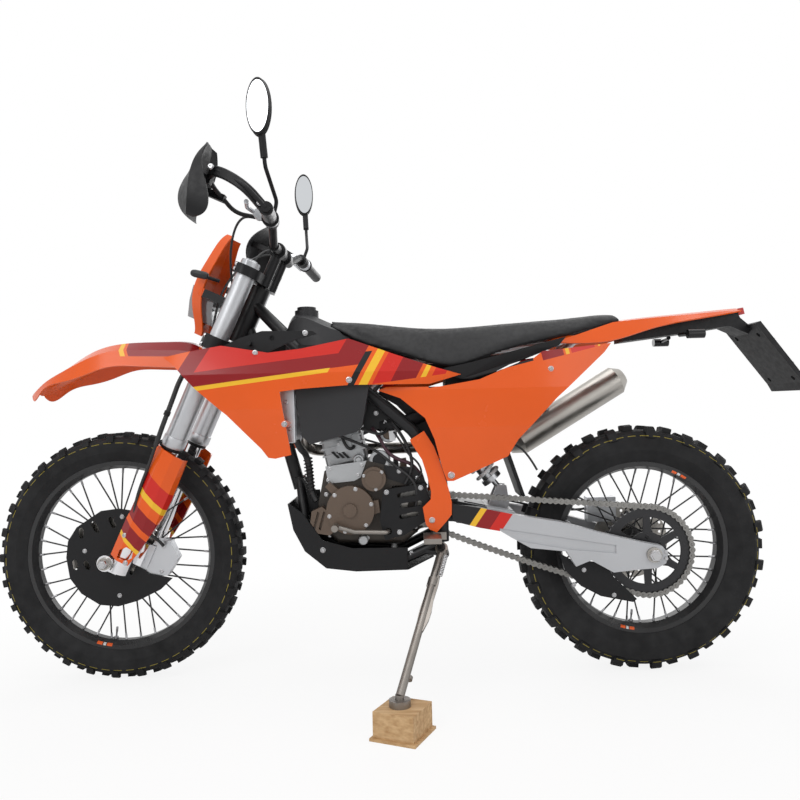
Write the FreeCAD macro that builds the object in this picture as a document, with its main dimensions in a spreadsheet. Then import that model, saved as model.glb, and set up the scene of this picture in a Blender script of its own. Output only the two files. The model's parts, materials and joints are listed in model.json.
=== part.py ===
import FreeCAD, Part
import math
import os

import Sketcher
from FreeCAD import Placement, Rotation, Vector

# A dirt bike leaning on its side stand. X runs rearward, Z up, and the rider's left is -Y.
# The bike is drawn upright between its two axles, then leaned about the ground line.

DOC = FreeCAD.newDocument("dirt_bike")
X_AXIS = Vector(1, 0, 0)
Y_AXIS = Vector(0, 1, 0)
Z_AXIS = Vector(0, 0, 1)
ORIGIN = Vector(0, 0, 0)
FULL_TURN = 360.0
HALF_TURN = 180.0
RIGHT_ANGLE = 90.0
LEFT = -1
RIGHT = 1
SIDES = (LEFT, RIGHT)
HALF = 0.5

SIZES = {
    # the whole bike
    "wheelbase": 1480,
    "lean_angle": 5,
    "rake_angle": 24.5,
    "cut_overrun": 10,
    "seat_gap": 0.3,
    "panel_thickness": 4,
    # front wheel
    "front_radius": 352,
    "front_tyre_width": 90,
    "front_lug_height": 11,
    "front_lug_length": 19,
    "front_lug_rows": 58,
    "front_rim_seat": 262,
    "front_rim_inner": 247,
    "front_rim_flange": 269,
    "front_rim_width": 52,
    "front_hub_radius": 34,
    "front_hub_width": 68,
    "front_hub_end": 74,
    "front_disc_radius": 130,
    "front_disc_side": 68,
    # rear wheel
    "rear_radius": 345,
    "rear_tyre_width": 114,
    "rear_lug_height": 14,
    "rear_lug_length": 26,
    "rear_lug_rows": 38,
    "rear_rim_seat": 233,
    "rear_rim_inner": 219,
    "rear_rim_flange": 241,
    "rear_rim_width": 66,
    "rear_hub_radius": 42,
    "rear_hub_width": 88,
    "rear_hub_end": 80,
    "rear_disc_radius": 110,
    "rear_disc_side": 70,
    # both wheels
    "rim_wall": 5,
    "hub_core_radius": 24,
    "flange_thickness": 6,
    "spoke_radius": 2.2,
    "spoke_lace": 4.2,
    "spoke_count": 36,
    "spoke_sweep_angle": 52,
    "disc_thickness": 3.6,
    "disc_band": 28,
    "disc_hole_radius": 4,
    "disc_hole_count": 24,
    "axle_radius": 12,
    "axle_bore_radius": 8,
    "axle_running_gap": 0.05,
    # chain and sprockets
    "chain_pitch": 15.875,
    "chain_side": 74,
    "roller_radius": 5.08,
    "roller_width": 7.6,
    "link_half_height": 7.2,
    "link_side_thickness": 3,
    "chain_sag": 12,
    "rear_teeth": 48,
    "front_teeth": 14,
    "sprocket_thickness": 5.6,
    "tooth_height": 4.2,
    "output_x": 95,
    "output_z": 484,
    # fork and steering, along the fork's own axis above the front axle
    "lug_offset": 38.5,
    "clamp_offset": 22,
    "fork_half_spacing": 107,
    "slider_radius": 24,
    "fork_foot_radius": 28,
    "fork_foot_height": 70,
    "slider_top": 520,
    "outer_tube_start": 359,
    "outer_tube_shoulder": 640,
    "outer_tube_top": 905,
    "outer_tube_radius": 29.5,
    "outer_tube_top_radius": 26.5,
    "lower_clamp_start": 645,
    "lower_clamp_end": 683,
    "upper_clamp_start": 866,
    "upper_clamp_end": 893,
    "clamp_wall": 12,
    "stem_radius": 14,
    "head_tube_radius": 29,
    "head_tube_gap": 5,
    "lug_width": 40,
    "lug_radius": 22,
    "bar_rise": 80,
    "bar_setback": 78.5,
    "bar_radius": 11,
    "bar_clamp_radius": 14.5,
    "bar_clamp_half_spacing": 45,
    "grip_radius": 16.5,
    "grip_length": 128,
    "bar_half_width": 405,
    "guard_wall": 4,
    "muffler_wall": 3,
    "pipe_wall": 2,
    # frame
    "spar_radius": 16,
    "down_tube_radius": 18,
    "cradle_radius": 13,
    "subframe_radius": 10,
    "pivot_x": 178,
    "pivot_z": 470,
    "pivot_radius": 12,
    # side stand and its block
    "block_height": 60,
    "block_length": 96,
    "block_width": 104,
    "block_yaw_angle": 24,
    "block_board": 6,
    "stand_pivot_x": 172,
    "stand_pivot_z": 374,
    "stand_pivot_side": 137,
    "stand_foot_x": 58,
    "stand_foot_side": 455,
    "stand_leg_radius": 10,
    "stand_foot_radius": 24,
    "stand_foot_thickness": 15,
    "stand_eye_radius": 17,
    "stand_eye_width": 14,
    "stand_pin_radius": 7,
}

SHEET = DOC.addObject("Spreadsheet::Sheet", "Sizes")
for row, (size_name, size_value) in enumerate(SIZES.items(), 1):
    SHEET.set(f"A{row}", size_name)
    SHEET.set(f"B{row}", str(size_value))
    SHEET.setAlias(f"B{row}", size_name)
DOC.recompute()


class SheetReader:
    """Reads a driving size from the sheet by its name."""

    def __getattr__(self, name):
        return float(getattr(SHEET, name))


s = SheetReader()

FRONT_AXLE = Vector(-s.wheelbase * HALF, 0, s.front_radius)
REAR_AXLE = Vector(s.wheelbase * HALF, 0, s.rear_radius)
CROWN_SHARE = 0.02
LEAN_LIFT = CROWN_SHARE * s.rear_tyre_width * math.sin(math.radians(s.lean_angle))
LEAN = Placement(Vector(0, 0, LEAN_LIFT), Rotation(X_AXIS, s.lean_angle))
FORK = Placement(FRONT_AXLE, Rotation(Y_AXIS, s.rake_angle))
FORK_PLACE = LEAN * FORK
FRONT_WHEEL_PLACE = LEAN * Placement(FRONT_AXLE, Rotation())
REAR_WHEEL_PLACE = LEAN * Placement(REAR_AXLE, Rotation())
STEER_ACROSS = s.lug_offset + s.clamp_offset
BAR_HEIGHT = s.upper_clamp_end + s.bar_rise
NODES = []


# Shared shapes

def node(label, shape, place=LEAN):
    """A sub-part with a shape made by code."""
    piece = DOC.addObject("Part::Feature", label)
    piece.Label = label
    piece.Shape = shape
    piece.Placement = place * shape.Placement
    NODES.append(piece)
    return piece


def keep(piece, label, place):
    """Makes a document object a sub-part."""
    piece.Label = label
    piece.Placement = place
    NODES.append(piece)
    return piece


def mirrored(shape):
    return shape.mirror(ORIGIN, Y_AXIS)


def both_sides(shape):
    """The left piece and its mirror image."""
    return Part.makeCompound([shape, mirrored(shape)])


def fused(shapes):
    shape = shapes[0].multiFuse(shapes[1:])
    return shape.removeSplitter()


def polygon_face(points):
    return Part.Face(Part.makePolygon(points + [points[0]]))


def prism(outline, start, end):
    """A side-view outline of (x, z) points, extruded across the bike from start to end."""
    face = polygon_face([Vector(x, start, z) for x, z in outline])
    return face.extrude(Vector(0, end - start, 0))


def scaled(shares, start_x, start_z, length, height):
    """Places an outline of shares in its own box."""
    return [(start_x + length * along, start_z + height * up) for along, up in shares]


def offset_strip(points, thickness):
    """A closed strip: an open line of 2-D points and the same line moved aside."""
    inner = []
    for index, point in enumerate(points):
        before = points[max(index - 1, 0)]
        after = points[min(index + 1, len(points) - 1)]
        normals = []
        for start, end in ((before, point), (point, after)):
            run = (end[0] - start[0], end[1] - start[1])
            length = math.hypot(*run)
            if length > 0:
                normals.append((-run[1] / length, run[0] / length))
        mean = (sum(n[0] for n in normals), sum(n[1] for n in normals))
        scale = thickness * len(normals) / (mean[0] ** 2 + mean[1] ** 2)
        inner.append((point[0] + mean[0] * scale, point[1] + mean[1] * scale))
    return points + inner[::-1]


def bent_path(points, bend_radius):
    """Straight runs joined by tangent arcs."""
    edges = []
    last = points[0]
    for index in range(1, len(points) - 1):
        corner = points[index]
        back = points[index - 1] - corner
        ahead = points[index + 1] - corner
        room = HALF * min(back.Length, ahead.Length) * BEND_ROOM_SHARE
        back.normalize()
        ahead.normalize()
        half_angle = HALF * back.getAngle(ahead)
        reach = min(bend_radius / math.tan(half_angle), room)
        start = corner + back * reach
        end = corner + ahead * reach
        radius = reach * math.tan(half_angle)
        inward = back + ahead
        inward.normalize()
        centre = corner + inward * (radius / math.sin(half_angle))
        middle = centre - inward * radius
        edges.append(Part.LineSegment(last, start).toShape())
        edges.append(Part.Arc(start, middle, end).toShape())
        last = end
    edges.append(Part.LineSegment(last, points[-1]).toShape())
    return Part.Wire(edges)


BEND_ROOM_SHARE = 0.95


def tube(points, radius, bend_radius=None):
    """A round bar along straight runs with tangent bends."""
    direction = points[1] - points[0]
    if len(points) == 2:
        return Part.makeCylinder(radius, direction.Length, points[0], direction)
    bend = bend_radius if bend_radius else radius * 4
    ring = Part.Wire(Part.makeCircle(radius, points[0], direction))
    return bent_path(points, bend).makePipeShell([ring], True, False)


def rod(radius, start, end):
    return Part.makeCylinder(radius, (end - start).Length, start, end - start)


def ring(outer, inner, start, end):
    """A plain tube between two points."""
    cut = rod(inner, start, end)
    return rod(outer, start, end).cut(cut)


def loft(sections, ruled=False):
    wires = [Part.makePolygon(points + [points[0]]) for points in sections]
    return Part.makeLoft(wires, True, ruled)


def skin_place(skin, x, z):
    """The middle of a left-hand skin where a line across the bike meets it."""
    line = Part.makeLine(Vector(x, -s.bar_half_width, z), Vector(x, 0, z))
    hit = skin.common(line).BoundBox
    return Vector(x, HALF * (hit.YMin + hit.YMax), z)


def boss(skin, x, z, radius, inner):
    """A round boss from a left-hand skin in to a seat at a distance from the middle."""
    start = skin_place(skin, x, z)
    return rod(radius, start, Vector(x, -inner - s.seat_gap, z))


def revolved_body(label, corners):
    """A body turned about the wheel axis from (radius, width) corners written as sheet sums."""
    body = DOC.addObject("PartDesign::Body", label)
    plane = [item for item in body.Origin.OriginFeatures if item.Role == "XY_Plane"][0]
    sketch = body.newObject("Sketcher::SketchObject", label + "_outline")
    sketch.AttachmentSupport = [(plane, "")]
    sketch.MapMode = "FlatFace"
    places = [(SHEET.evalExpression(r), SHEET.evalExpression(y)) for r, y in corners]
    count = len(corners)
    for index in range(count):
        start = places[index]
        end = places[(index + 1) % count]
        line = Part.LineSegment(Vector(start[0], start[1], 0), Vector(end[0], end[1], 0))
        sketch.addGeometry(line)
    for index in range(count):
        sketch.addConstraint(Sketcher.Constraint("Coincident", index, 2, (index + 1) % count, 1))
    for index, corner in enumerate(corners):
        for kind, text, value in zip(("DistanceX", "DistanceY"), corner, places[index]):
            rule = sketch.addConstraint(Sketcher.Constraint(kind, -1, 1, index, 1, float(value)))
            sketch.setExpression(f"Constraints[{rule}]", text)
    turned = body.newObject("PartDesign::Revolution", label + "_turned")
    turned.Profile = sketch
    turned.ReferenceAxis = (sketch, ["V_Axis"])
    turned.Angle = FULL_TURN
    sketch.Visibility = False
    return body


# Wheels

LUG_CARCASS_SHARES = [
    # drop in lug heights, drop in side heights, half width
    (0.0, 0.36, 0.47),
    (0.6, 0.16, 0.4),
    (1.0, 0.04, 0.3),
    (1.0, 0.0, CROWN_SHARE),
]
MIDDLE_LUG_SHARES = [(0.18, -0.19), (0.0275, -0.19), (0.0, -CROWN_SHARE), (0.0, CROWN_SHARE),
                     (0.0275, 0.19), (0.18, 0.19)]
OUTER_LUG_SHARES = [(0.26, 0.23), (0.034, 0.23), (0.05, 0.33), (0.13, 0.44), (0.33, 0.497), (0.34, 0.44)]


def tyre(label, end, place):
    """A tyre with a flat foot inside the rim and rows of lugs that take turns."""
    radius = f"Sizes.{end}_radius"
    wide = f"Sizes.{end}_tyre_width"
    lug = f"Sizes.{end}_lug_height"
    seat = f"(Sizes.{end}_rim_seat + Sizes.seat_gap)"
    flange = f"(Sizes.{end}_rim_flange + Sizes.seat_gap)"
    bead = f"(Sizes.{end}_rim_width / 2 - Sizes.rim_wall - Sizes.seat_gap)"
    tall = f"({radius} - Sizes.{end}_rim_flange)"
    half = [
        (seat, bead),
        (flange, bead),
        (flange, f"{wide} * 0.3"),
        (f"{radius} - {tall} * 0.68", f"{wide} * 0.43"),
    ]
    for lugs_down, sides_down, across in LUG_CARCASS_SHARES:
        half.append((f"{radius} - {lug} * {lugs_down} - {tall} * {sides_down}", f"{wide} * {across}"))
    other = [(r, f"0 - {y}") for r, y in reversed(half)]
    carcass = revolved_body(label + "_carcass", half + other)
    fuse = DOC.addObject("Part::MultiFuse", label)
    fuse.Shapes = [carcass, tyre_lugs(label, end)]
    return keep(fuse, label, place)


def tyre_lugs(label, end):
    """Rubber blocks: a middle one and, a step on, one on each shoulder."""
    radius = getattr(s, f"{end}_radius")
    tall = radius - getattr(s, f"{end}_rim_flange")
    wide = getattr(s, f"{end}_tyre_width")
    length = getattr(s, f"{end}_lug_length")
    rows = int(getattr(s, f"{end}_lug_rows"))
    blocks = []
    for row in range(rows):
        angle = math.radians(FULL_TURN * row / rows)
        out = Vector(math.cos(angle), 0, math.sin(angle))
        along = Vector(-math.sin(angle), 0, math.cos(angle)) * length
        outlines = [MIDDLE_LUG_SHARES]
        if row % 2:
            outlines = [OUTER_LUG_SHARES, [(down, -across) for down, across in OUTER_LUG_SHARES]]
        for outline in outlines:
            corners = [out * (radius - tall * down) + Y_AXIS * (wide * across) - along * HALF
                       for down, across in outline]
            blocks.append(polygon_face(corners).extrude(along))
    feature = DOC.addObject("Part::Feature", label + "_lugs")
    feature.Shape = Part.makeCompound(blocks)
    return feature


def spokes(end):
    """Spokes from both hub flanges to the rim's middle line, which pass beside each other."""
    hub_radius = getattr(s, f"{end}_hub_radius")
    hub_half = HALF * getattr(s, f"{end}_hub_width") - HALF * s.flange_thickness
    rim_radius = getattr(s, f"{end}_rim_inner") + HALF * s.rim_wall
    count = int(s.spoke_count)
    start_radius = hub_radius + s.seat_gap + s.spoke_radius
    bars = []
    for index in range(count):
        side = hub_half if index % 2 else -hub_half
        side += s.spoke_lace if index % 4 < 2 else -s.spoke_lace
        sweep = s.spoke_sweep_angle if index % 4 < 2 else -s.spoke_sweep_angle
        rim_angle = math.radians(FULL_TURN * index / count)
        hub_angle = rim_angle + math.radians(sweep)
        start = Vector(start_radius * math.cos(hub_angle), side, start_radius * math.sin(hub_angle))
        stop = Vector(rim_radius * math.cos(rim_angle), 0, rim_radius * math.sin(rim_angle))
        bars.append(rod(s.spoke_radius, start, stop))
    feature = DOC.addObject("Part::Feature", end + "_spokes")
    feature.Shape = Part.makeCompound(bars)
    return feature


def rim(label, end, place):
    """A channel rim with its spokes."""
    inner = f"Sizes.{end}_rim_inner"
    seat = f"Sizes.{end}_rim_seat"
    flange = f"Sizes.{end}_rim_flange"
    half = f"Sizes.{end}_rim_width / 2"
    wall = "Sizes.rim_wall"
    side = [
        (inner, f"{half} * 0.35"),
        (f"{seat} - {wall}", f"{half}"),
        (flange, f"{half}"),
        (flange, f"{half} - {wall}"),
        (seat, f"{half} - {wall}"),
        (seat, f"{half} * 0.55"),
        (f"{inner} + {wall}", f"{half} * 0.3"),
    ]
    other = [(r, f"0 - ({y})") for r, y in reversed(side)]
    channel = revolved_body(label + "_channel", side + other)
    fuse = DOC.addObject("Part::MultiFuse", label)
    fuse.Shapes = [channel, spokes(end)]
    return keep(fuse, label, place)


def hub(label, end, place):
    """A hub with two spoke flanges and a bearing bore."""
    half = f"Sizes.{end}_hub_width / 2"
    flange = f"Sizes.{end}_hub_radius"
    core = "Sizes.hub_core_radius"
    bore = "Sizes.axle_radius + Sizes.axle_running_gap"
    side = [
        (bore, f"Sizes.{end}_hub_end"),
        (core, f"Sizes.{end}_hub_end"),
        (core, f"{half}"),
        (flange, f"{half}"),
        (flange, f"{half} - Sizes.flange_thickness"),
        (core, f"{half} - Sizes.flange_thickness - 8"),
    ]
    other = [(r, f"0 - ({y})") for r, y in reversed(side)]
    return keep(revolved_body(label, side + other), label, place)


def disc(label, end, side, place):
    """A drilled brake disc with a lightened middle."""
    radius = getattr(s, f"{end}_disc_radius")
    centre = Vector(0, side * getattr(s, f"{end}_disc_side") - HALF * s.disc_thickness, 0)
    plate = Part.makeCylinder(radius, s.disc_thickness, centre, Y_AXIS)
    cuts = [Part.makeCylinder(s.hub_core_radius + s.seat_gap, s.disc_thickness, centre, Y_AXIS)]
    for index in range(int(s.disc_hole_count)):
        angle = math.radians(FULL_TURN * index / s.disc_hole_count)
        ring_radius = radius - s.disc_band * (DISC_ROW_SHARES[index % 2])
        place_hole = centre + Vector(ring_radius * math.cos(angle), 0, ring_radius * math.sin(angle))
        cuts.append(Part.makeCylinder(s.disc_hole_radius, s.disc_thickness, place_hole, Y_AXIS))
    return node(label, plate.cut(Part.makeCompound(cuts)), place)


DISC_ROW_SHARES = (0.3, 0.68)


def wheels():
    tyre("front_tyre", "front", FRONT_WHEEL_PLACE)
    rim("front_rim", "front", FRONT_WHEEL_PLACE)
    hub("front_hub", "front", FRONT_WHEEL_PLACE)
    disc("front_disc", "front", LEFT, FRONT_WHEEL_PLACE)
    tyre("rear_tyre", "rear", REAR_WHEEL_PLACE)
    rim("rear_rim", "rear", REAR_WHEEL_PLACE)
    hub("rear_hub", "rear", REAR_WHEEL_PLACE)
    disc("rear_disc", "rear", RIGHT, REAR_WHEEL_PLACE)
    node("rear_sprocket", sprocket(s.rear_teeth, s.hub_core_radius + s.seat_gap), REAR_WHEEL_PLACE)


# Chain drive

def pitch_radius(teeth):
    return s.chain_pitch * HALF / math.sin(math.pi / teeth)


def tooth_corners(root, tip):
    """Shares of one tooth step with the radius that each corner takes."""
    return [(-ROOT_SHARE, root), (ROOT_SHARE, root), (TIP_SHARE, tip), (1 - TIP_SHARE, tip)]


ROOT_SHARE = 0.26
TIP_SHARE = 0.42


def sprocket(teeth, bore):
    """A toothed ring about the wheel axis, a roller gap at angle zero."""
    count = int(teeth)
    radius = pitch_radius(teeth)
    step = math.radians(FULL_TURN / count)
    root = radius - s.roller_radius - s.seat_gap
    tip = radius + s.tooth_height
    outline = []
    for index in range(count):
        for share, reach in tooth_corners(root, tip):
            angle = step * (index + share)
            outline.append((reach * math.cos(angle), reach * math.sin(angle)))
    half = HALF * s.sprocket_thickness
    plate = prism(outline, -s.chain_side - half, -s.chain_side + half)
    hole = Part.makeCylinder(bore, s.sprocket_thickness,
                             Vector(0, -s.chain_side - half, 0), Y_AXIS)
    return plate.cut(hole)


def chain_points():
    """Roller centres round both sprockets, with a taut run above and a slack run below."""
    front = (s.output_x, s.output_z)
    rear = (REAR_AXLE.x, REAR_AXLE.z)
    reach = math.hypot(rear[0] - front[0], rear[1] - front[1])
    tilt = math.atan2(rear[1] - front[1], rear[0] - front[0])
    big = pitch_radius(s.rear_teeth)
    small = pitch_radius(s.front_teeth)
    cone = math.asin((big - small) / reach)
    step = math.radians(FULL_TURN / s.rear_teeth)
    first = math.ceil((tilt + math.pi * HALF + cone) / step) * step
    last = math.floor((tilt - math.pi * HALF - cone) / step) * step
    wrap = round((first - last) / step)
    rear_arc = [(rear[0] + big * math.cos(first - step * k), rear[1] + big * math.sin(first - step * k))
                for k in range(wrap + 1)]
    small_step = math.radians(FULL_TURN / s.front_teeth)
    small_wrap = small_wrap_steps()
    middle = tilt + math.pi
    start = middle + HALF * small_wrap * small_step
    front_arc = [(front[0] + small * math.cos(start - small_step * k),
                  front[1] + small * math.sin(start - small_step * k))
                 for k in range(small_wrap + 1)]
    lower = run_points(rear_arc[-1], front_arc[0], s.chain_sag, 0)
    used = len(rear_arc) + len(front_arc) + len(lower)
    upper = run_points(front_arc[-1], rear_arc[0], 0, used % 2)
    return rear_arc + lower + front_arc + upper


def front_phase():
    """Turns the small sprocket so that its gaps meet the rollers."""
    tilt = math.atan2(REAR_AXLE.z - s.output_z, REAR_AXLE.x - s.output_x)
    small_step = FULL_TURN / s.front_teeth
    turn = math.degrees(tilt) + HALF_TURN + HALF * small_wrap_steps() * small_step
    return Rotation(Y_AXIS, -turn)


def small_wrap_steps():
    """Whole roller steps that wrap the small sprocket."""
    reach = math.hypot(REAR_AXLE.x - s.output_x, REAR_AXLE.z - s.output_z)
    cone = math.asin((pitch_radius(s.rear_teeth) - pitch_radius(s.front_teeth)) / reach)
    return math.ceil((math.pi - 2 * cone) / math.radians(FULL_TURN / s.front_teeth))


def run_points(start, end, sag, odd):
    """Rollers between two engaged ones, on a shallow curve."""
    length = math.hypot(end[0] - start[0], end[1] - start[1])
    pieces = int(round(length / s.chain_pitch))
    if (pieces - 1) % 2 != odd:
        pieces += 1
    points = []
    for k in range(1, pieces):
        share = k / pieces
        drop = 4 * sag * share * (1 - share)
        points.append((start[0] + (end[0] - start[0]) * share,
                       start[1] + (end[1] - start[1]) * share - drop))
    return points


def loop_outline(points, away):
    """The closed line of points moved outward by a distance."""
    outline = []
    count = len(points)
    for index, point in enumerate(points):
        before = points[index - 1]
        after = points[(index + 1) % count]
        run = (after[0] - before[0], after[1] - before[1])
        length = math.hypot(*run)
        outline.append((point[0] - run[1] / length * away, point[1] + run[0] / length * away))
    return outline


def chain():
    """A fixed loop: two rows of side plates on rollers that seat in the sprockets."""
    points = chain_points()
    outer = loop_outline(points, s.link_half_height)
    inner = loop_outline(points, -s.link_half_height)
    half = HALF * s.roller_width
    parts = []
    for side in SIDES:
        start = -s.chain_side + side * half
        end = start + side * s.link_side_thickness
        band = prism(outer, start, end).cut(prism(inner, start, end))
        parts.append(band)
    for x, z in points:
        start = Vector(x, -s.chain_side - half, z)
        hexagon = [(x + s.roller_radius * math.cos(k * math.pi / 3),
                    z + s.roller_radius * math.sin(k * math.pi / 3)) for k in range(6)]
        parts.append(prism(hexagon, start.y, start.y + s.roller_width))
    node("chain", parts[0].multiFuse(parts[1:]))


# Front end, in the fork's own frame: x behind the axle, z along the legs

def fork_leg_axis(side, along):
    return Vector(s.lug_offset, side * s.fork_half_spacing, along)


def fork():
    lug_face = s.fork_half_spacing - HALF * s.lug_width
    tubes = []
    legs = []
    for side in SIDES:
        start = fork_leg_axis(side, s.outer_tube_start)
        shoulder = fork_leg_axis(side, s.outer_tube_shoulder)
        narrow = fork_leg_axis(side, s.lower_clamp_end)
        top = fork_leg_axis(side, s.outer_tube_top)
        lower = rod(s.outer_tube_radius, start, narrow)
        upper = rod(s.outer_tube_top_radius, narrow, top)
        bore = rod(s.slider_radius + s.seat_gap, start, fork_leg_axis(side, s.slider_top + s.cut_overrun))
        tubes.append(lower.fuse(upper).cut(bore).removeSplitter())
        slider = rod(s.slider_radius, fork_leg_axis(side, 0), fork_leg_axis(side, s.slider_top))
        foot = rod(s.fork_foot_radius, fork_leg_axis(side, -s.lug_radius * HALF),
                   fork_leg_axis(side, s.fork_foot_height))
        half = HALF * s.lug_width
        y = side * s.fork_half_spacing
        boss = rod(s.lug_radius, Vector(0, y - half, 0), Vector(0, y + half, 0))
        web = Part.makeBox(s.lug_offset, s.lug_width * 0.8, s.lug_radius * 1.6,
                           Vector(0, y - half * 0.8, -s.lug_radius * 0.8))
        bore = rod(s.axle_radius + s.axle_running_gap, Vector(0, y - half, 0), Vector(0, y + half, 0))
        pieces = [slider, foot, boss, web]
        if side == LEFT:
            pieces.append(prism([(40, 20), (84, 20), (84, 84), (40, 84)], -lug_face - 12, -lug_face - 0.7))
        legs.append(fused(pieces).cut(bore))
    node("fork_tubes", Part.makeCompound(tubes), FORK_PLACE)
    node("fork_legs", Part.makeCompound(legs), FORK_PLACE)


def front_axle():
    """A hollow axle with a flanged head, clear of both lugs' outer faces."""
    reach = s.fork_half_spacing + HALF * s.lug_width
    shaft = rod(s.axle_radius, Vector(0, -reach - 6, 0), Vector(0, reach + 6, 0))
    head = rod(s.axle_radius + 5, Vector(0, -reach - s.seat_gap, 0), Vector(0, -reach - 7, 0))
    bore = rod(s.axle_bore_radius, Vector(0, -reach - 8, 0), Vector(0, reach + 8, 0))
    spacers = []
    hub_end = s.front_hub_end
    for side in SIDES:
        start = Vector(0, side * (hub_end + s.seat_gap), 0)
        end = Vector(0, side * (s.fork_half_spacing - HALF * s.lug_width - s.seat_gap), 0)
        spacers.append(rod(s.axle_radius + 6, start, end))
    node("front_axle", fused([shaft, head] + spacers).cut(bore), FORK_PLACE)


def clamps():
    """Two clamps and the steering stem that joins them through the head tube."""
    parts = []
    for start, end, radius in (
            (s.lower_clamp_start, s.lower_clamp_end, s.outer_tube_radius),
            (s.upper_clamp_start, s.upper_clamp_end, s.outer_tube_top_radius)):
        wall = radius + s.clamp_wall
        outline = [
            Vector(s.lug_offset - wall, -s.fork_half_spacing, start),
            Vector(STEER_ACROSS - radius, 0, start),
            Vector(s.lug_offset - wall, s.fork_half_spacing, start),
            Vector(s.lug_offset + wall, s.fork_half_spacing, start),
            Vector(STEER_ACROSS + s.stem_radius + s.clamp_wall * 0.7, 0, start),
            Vector(s.lug_offset + wall, -s.fork_half_spacing, start),
        ]
        plate = polygon_face(outline).extrude(Vector(0, 0, end - start))
        eyes = [rod(wall, fork_leg_axis(side, start), fork_leg_axis(side, end)) for side in SIDES]
        bores = [rod(radius + s.axle_running_gap, fork_leg_axis(side, start - 1),
                     fork_leg_axis(side, end + 1)) for side in SIDES]
        parts.append(fused([plate] + eyes).cut(Part.makeCompound(bores)))
    stem = rod(s.stem_radius, Vector(STEER_ACROSS, 0, s.lower_clamp_start),
               Vector(STEER_ACROSS, 0, s.upper_clamp_end))
    posts = []
    for side in SIDES:
        y = side * s.bar_clamp_half_spacing
        low = Vector(s.bar_setback, y, s.upper_clamp_start)
        high = Vector(s.bar_setback, y, BAR_HEIGHT)
        posts.append(rod(s.bar_clamp_radius, low, high))
        barrel = rod(s.bar_clamp_radius + 8, Vector(s.bar_setback, y - 13, BAR_HEIGHT),
                     Vector(s.bar_setback, y + 13, BAR_HEIGHT))
        posts.append(barrel)
    bar_bore = rod(s.bar_clamp_radius + s.axle_running_gap,
                   Vector(s.bar_setback, -s.bar_half_width, BAR_HEIGHT),
                   Vector(s.bar_setback, s.bar_half_width, BAR_HEIGHT))
    node("triple_clamps", fused(parts + [stem] + posts).cut(bar_bore), FORK_PLACE)


GUARD_SECTION_SHARES = [(0.0, 0.0), (0.08, 0.62), (0.33, 1.0), (0.66, 1.0), (0.92, 0.72), (1.0, 0.2)]
GUARD_OUTLINE_SHARES = [
    (0.088, 1.0), (0.077, 0.807), (0.121, 0.589), (0.11, 0.408), (0.044, 0.249), (0.0, 0.164),
    (0.011, 0.017), (0.396, 0.003), (0.681, 0.0), (0.802, 0.127), (0.912, 0.306), (0.978, 0.462),
    (1.0, 0.606), (0.978, 0.892), (0.967, 0.955)]


GUARD_WINDOW = [(28, 34), (26, 55), (42, 70), (62, 67), (66, 48), (54, 34)]


def fork_guards():
    """A folded plastic guard round the front and outside of each lower leg."""
    start_x, length, start_z = -3, 98, s.lug_radius + 3
    height = s.outer_tube_start - 5 - start_z
    depth = 44
    start_y = -s.fork_half_spacing + 8
    section = offset_strip(
        [(start_x + length * a, start_y - depth * b) for a, b in GUARD_SECTION_SHARES], s.guard_wall)
    face = polygon_face([Vector(x, y, start_z) for x, y in section])
    sheet = face.extrude(Vector(0, 0, height))
    outline = scaled(GUARD_OUTLINE_SHARES, start_x, start_z, length, height)
    cutter = prism(outline, -s.bar_half_width, 0)
    seat = s.fork_half_spacing + s.slider_radius + s.seat_gap
    peg = rod(6, Vector(s.lug_offset, -seat, 95), Vector(s.lug_offset, -seat - 10, 95))
    window = prism(GUARD_WINDOW, -s.bar_half_width, -s.fork_half_spacing)
    node("fork_guards", both_sides(sheet.common(cutter).cut(window).fuse(peg)), FORK_PLACE)


def front_caliper():
    """A two-piston caliper over the disc, behind the left leg."""
    outline = [(70, 30), (92, 100), (128, 112), (168, 78), (160, 22), (120, 2), (85, 8)]
    block = prism(outline, -s.front_disc_side - 15, -s.front_disc_side + 15)
    slot = Part.makeCylinder(s.front_disc_radius + 6, s.disc_thickness + 3,
                             Vector(0, -s.front_disc_side - HALF * s.disc_thickness - 1.5, 0), Y_AXIS)
    arm = prism([(70, 22), (70, 82), (100, 84), (100, 20)], -s.front_disc_side - 19.3,
                -s.front_disc_side - 14.9)
    node("front_caliper", fused([block.cut(slot), arm]), FORK_PLACE)


DISC_GUARD_OUTLINE = [(-118, -44), (-132, 0), (-125, 45), (-81, 113), (-38, 139), (0, 149), (34, 136),
                      (34, 30), (110, 8), (176, 22), (158, -20), (112, -74), (69, -109), (20, -126),
                      (-40, -118), (-86, -92)]
DISC_GUARD_SLOTS = [
    # start and end of each slot's middle line, half width
    ((-110, 42), (-104, 28), 7),
    ((-86, 72), (-70, 60), 7),
    ((-46, 102), (-32, 90), 7),
    ((-92, -46), (-84, -58), 7),
    ((-62, -36), (-52, -44), 7),
    ((-34, -18), (-26, -26), 7),
]


def slot_bar(start, end, half, low, high):
    """A round-ended bar across the bike, to cut a slot in side view."""
    bars = []
    for x, z in (start, end):
        bars.append(rod(half, Vector(x, low, z), Vector(x, high, z)))
    run = (end[0] - start[0], end[1] - start[1])
    length = math.hypot(*run)
    side = (-run[1] / length * half, run[0] / length * half)
    corners = [(start[0] + side[0], start[1] + side[1]), (end[0] + side[0], end[1] + side[1]),
               (end[0] - side[0], end[1] - side[1]), (start[0] - side[0], start[1] - side[1])]
    return fused(bars + [prism(corners, low, high)])


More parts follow.
